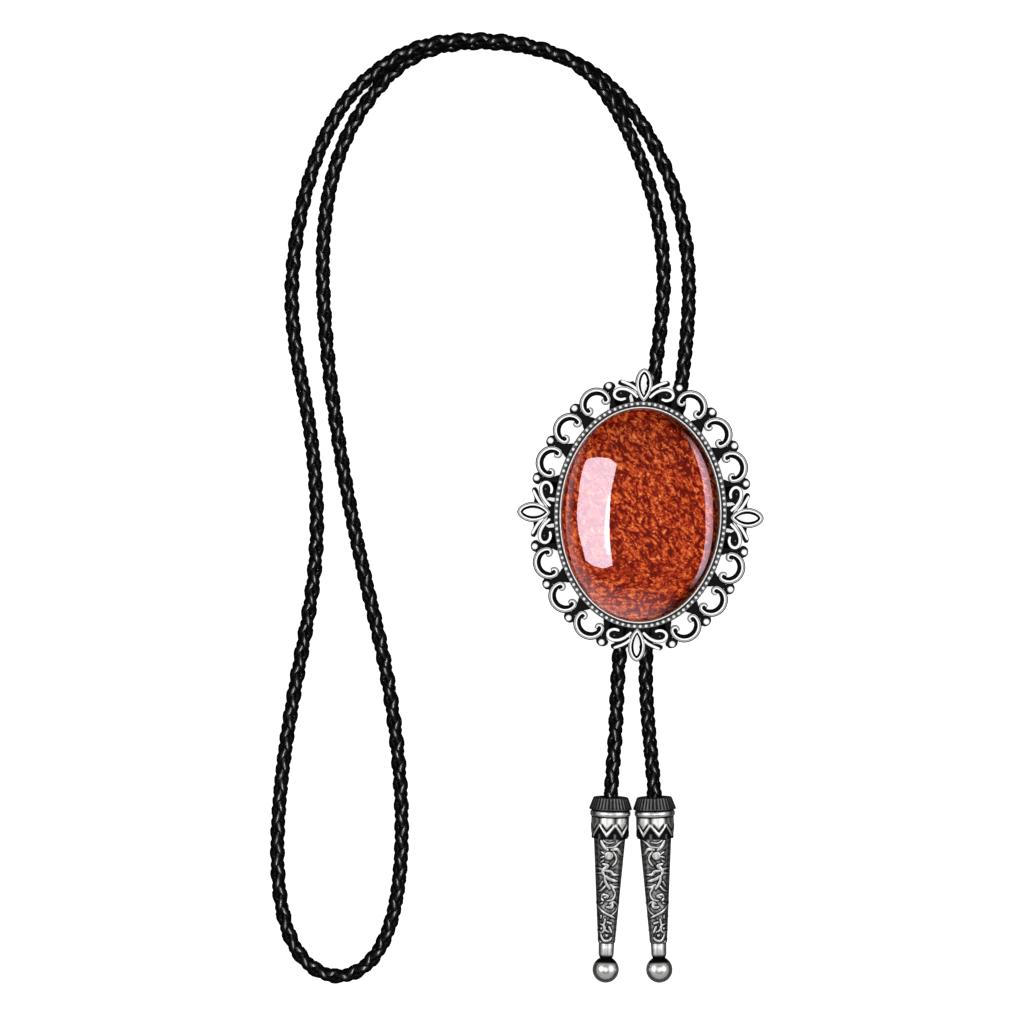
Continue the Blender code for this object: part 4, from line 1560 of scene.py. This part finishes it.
    def vines(
        self, angle: np.ndarray, place: np.ndarray, radius: np.ndarray
    ) -> tuple[np.ndarray, np.ndarray]:
        """Height and brightness of the body's relief, which goes twice round.

        Args:
            angle: Angle from the top line.
            place: Distance from the body's top.
            radius: The body's radius there.

        Returns:
            Heights as shares of the relief, and brightness.
        """
        nearest = np.full(np.broadcast_shapes(angle.shape, place.shape), 9.0)
        strokes = [(np.array(self.curve(vine.points)), vine.width) for vine in VINES]
        strokes += [(np.array([[x, y]]), 2 * reach) for x, y, reach in BUDS]
        for points, width in strokes:
            turns = np.arcsin(np.clip(points[:, 0], -1, 1))
            share = np.abs(np.linspace(-1, 1, len(points))) if len(points) > 1 else np.zeros(1)
            halves = width / 2 * (1 - self.vine_taper * share**4)
            for turn, (_, down), half in zip(turns, points, halves):
                rows = np.abs(place[:, 0] - down) < self.vine_reach
                swing = np.mod(angle - turn + math.pi / 2, math.pi) - math.pi / 2
                away = np.hypot(swing * radius[rows], place[rows] - down)
                nearest[rows] = np.minimum(nearest[rows], away - self.vine_swell * half)
        mottle = np.sin(2.3 * place + 3 * np.sin(4 * angle)) * np.sin(6 * angle + 1.9 * place)
        ground = self.ground_tone + self.ground_mottle * mottle
        ground = ground - self.ground_shade * smooth_step(0.42, 0.15, nearest)
        shine = np.maximum(ground, 0.95 * smooth_step(0.09, -0.08, nearest))
        return smooth_step(0.16, -0.08, nearest), shine

    def curve(self, points: Sequence[Point]) -> np.ndarray:
        """An even curve through a stroke's points, with a point every tenth of a millimetre or so.

        Args:
            points: The stroke's points.

        Returns:
            The curve's points.
        """
        if len(points) < 3:
            return np.linspace(points[0], points[-1], 14)
        route = Route([(x, y, 1.0) for x, y in points], floor=0.0)
        return route.sample(16 * len(points))[:, :2]

    def rows(self) -> tuple[np.ndarray, np.ndarray]:
        """The tip's points in its own frame, in millimetres, and their brightness.

        Returns:
            Points and brightness.
        """
        outline = self.profile()
        place, radius, tone = (outline[:, column, None] for column in range(3))
        angle = np.linspace(-math.pi, math.pi, self.sides, endpoint=False)[None]
        reach = np.broadcast_to(radius, (len(outline), self.sides)).copy()
        shine = np.broadcast_to(tone, reach.shape).copy()
        collar = slice(self.rows_to_ribs, self.rows_to_ribs + self.rib_rows)
        wave = np.cos(self.ribs * angle)
        reach[collar] += self.rib_height * wave
        shine[collar] = 0.22 + 0.40 * smooth_step(0.0, 0.9, wave)
        band = (place[:, 0] > self.ring_end + 0.12) & (place[:, 0] <= self.band_end)
        rise, shine[band] = self.chevrons(angle, place[band] - self.ring_end)
        reach[band] += self.relief * rise
        body = (place[:, 0] > self.band_end) & (place[:, 0] <= self.body_end)
        rise, shine[body] = self.vines(angle, place[body] - self.band_end, radius[body])
        reach[body] += 0.5 * self.relief * rise
        turn = self.hand.value * angle
        down = np.broadcast_to(self.collar_length - place, reach.shape)
        points = np.stack([reach * np.sin(turn), down, reach * np.cos(turn)], axis=-1)
        return points[:, :: -self.hand.value], shine[:, :: -self.hand.value]

    def build(self) -> bpy.types.Object:
        """Makes the tip over its CAD solid, lying on its collar and its ball.

        Returns:
            The tip.
        """
        points, shine = self.rows()
        reach = self.ball_place() - self.collar_length
        slope = math.acos(self.ball_radius / math.hypot(self.collar_radius, reach))
        slope -= math.atan2(reach, self.collar_radius)
        cos, sin = math.cos(slope), math.sin(slope)
        x, y, z = np.moveaxis(points * MM, -1, 0)
        tilted = np.stack([x, cos * y - sin * z, sin * y + cos * z], axis=-1)
        lying = turned(self.hand.value * self.swing, tilted)
        lying += (*self.place, self.collar_radius * MM * cos)
        skin = Skin()
        skin.add_grid(lying, shine)
        piece = skin.to_object(f"cast_{self.node}", self.silver, 60)
        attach(piece, "root")
        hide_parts(self.node)
        LOG.info("%s: %d faces", self.node, len(skin.faces))
        return piece


def hang_lamps(cord: bpy.types.Object, setting: bpy.types.Object, tips: Sequence[bpy.types.Object]) -> None:
    """Lights everything from above, and gives the leather and the cast metal their own highlights.

    Args:
        cord: The braided cord.
        setting: The cast setting.
        tips: The left and the right tip.
    """
    Lamp("fill", (0.0, 0.0, 2.8), 1.5, 3.5, mirrored=False).build()
    Lamp("setting_key", (0.0, 0.0, 2.6), 2.1, 1.1).build([setting])
    Lamp("cord_key", (0.16, 0.0, 2.8), 0.10, 100.0, stretch=18.0).build([cord])
    for tip, side in zip(tips, (1, -1)):
        Lamp("tip_left_key", (-1.5 * side, 0.25, 1.9), 0.8, 2.0).build([tip])
        Lamp("tip_right_key", (2.0 * side, 0.25, 1.7), 1.2, 1.0).build([tip])
        Lamp("tip_top_key", (0.0, 0.0, 2.6), 0.9, 1.05).build([tip])
    Lamp("table_glow", (0.0, -0.1, -0.9), 1.8, 0.07).build(tips)
    Screen().build([setting, *tips])


def hang_panels(dome: Dome, stone: bpy.types.Object) -> None:
    """Hangs the four panels that the stone mirrors.

    Args:
        dome: The stone's surface.
        stone: The stone.
    """
    panels = [
        Softbox("left_box", LEFT_BOX, 21.5, (1.0, 0.80, 0.95), (0.95, 1.0)),
        Softbox("left_tube", LEFT_TUBE, 34.0, (1.0, 0.97, 1.0), (0.3, 1.0), 2.9),
        Softbox("right_box", RIGHT_BOX, 11.0, (1.0, 0.80, 1.0), (1.0, 0.6), soft_ends=True),
        Softbox("rim_box", RIM_BOX, 4.2, (1.0, 0.80, 0.85), (1.0, 0.0), soft_ends=True),
    ]
    for panel in panels:
        panel.build(dome, stone)
    LOG.info("studio: %d panels for the stone", len(panels))


def main() -> None:
    """Builds the scene in order."""
    logging.basicConfig(level=logging.INFO, format="%(name)s %(message)s")
    finishes = Finishes.build()
    Studio(finishes).build()
    cord = BraidedCord(finishes.leather).build()
    dome = Dome()
    stone = Stone(finishes.goldstone, dome).build()
    setting = Setting(finishes.silver, dome).build()
    tips = [
        CastTip(finishes.silver, "left_tip", Hand.LEFT, LEFT_TIP_PLACE).build(),
        CastTip(finishes.silver, "right_tip", Hand.RIGHT, RIGHT_TIP_PLACE).build(),
    ]
    hang_lamps(cord, setting, tips)
    hang_panels(dome, stone)
    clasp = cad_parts["clasp"]
    clasp.data.materials[0] = finishes.steel
    LOG.info("clasp: keeps the model's own shape, in satin steel")


if __name__ == "__main__":
    main()
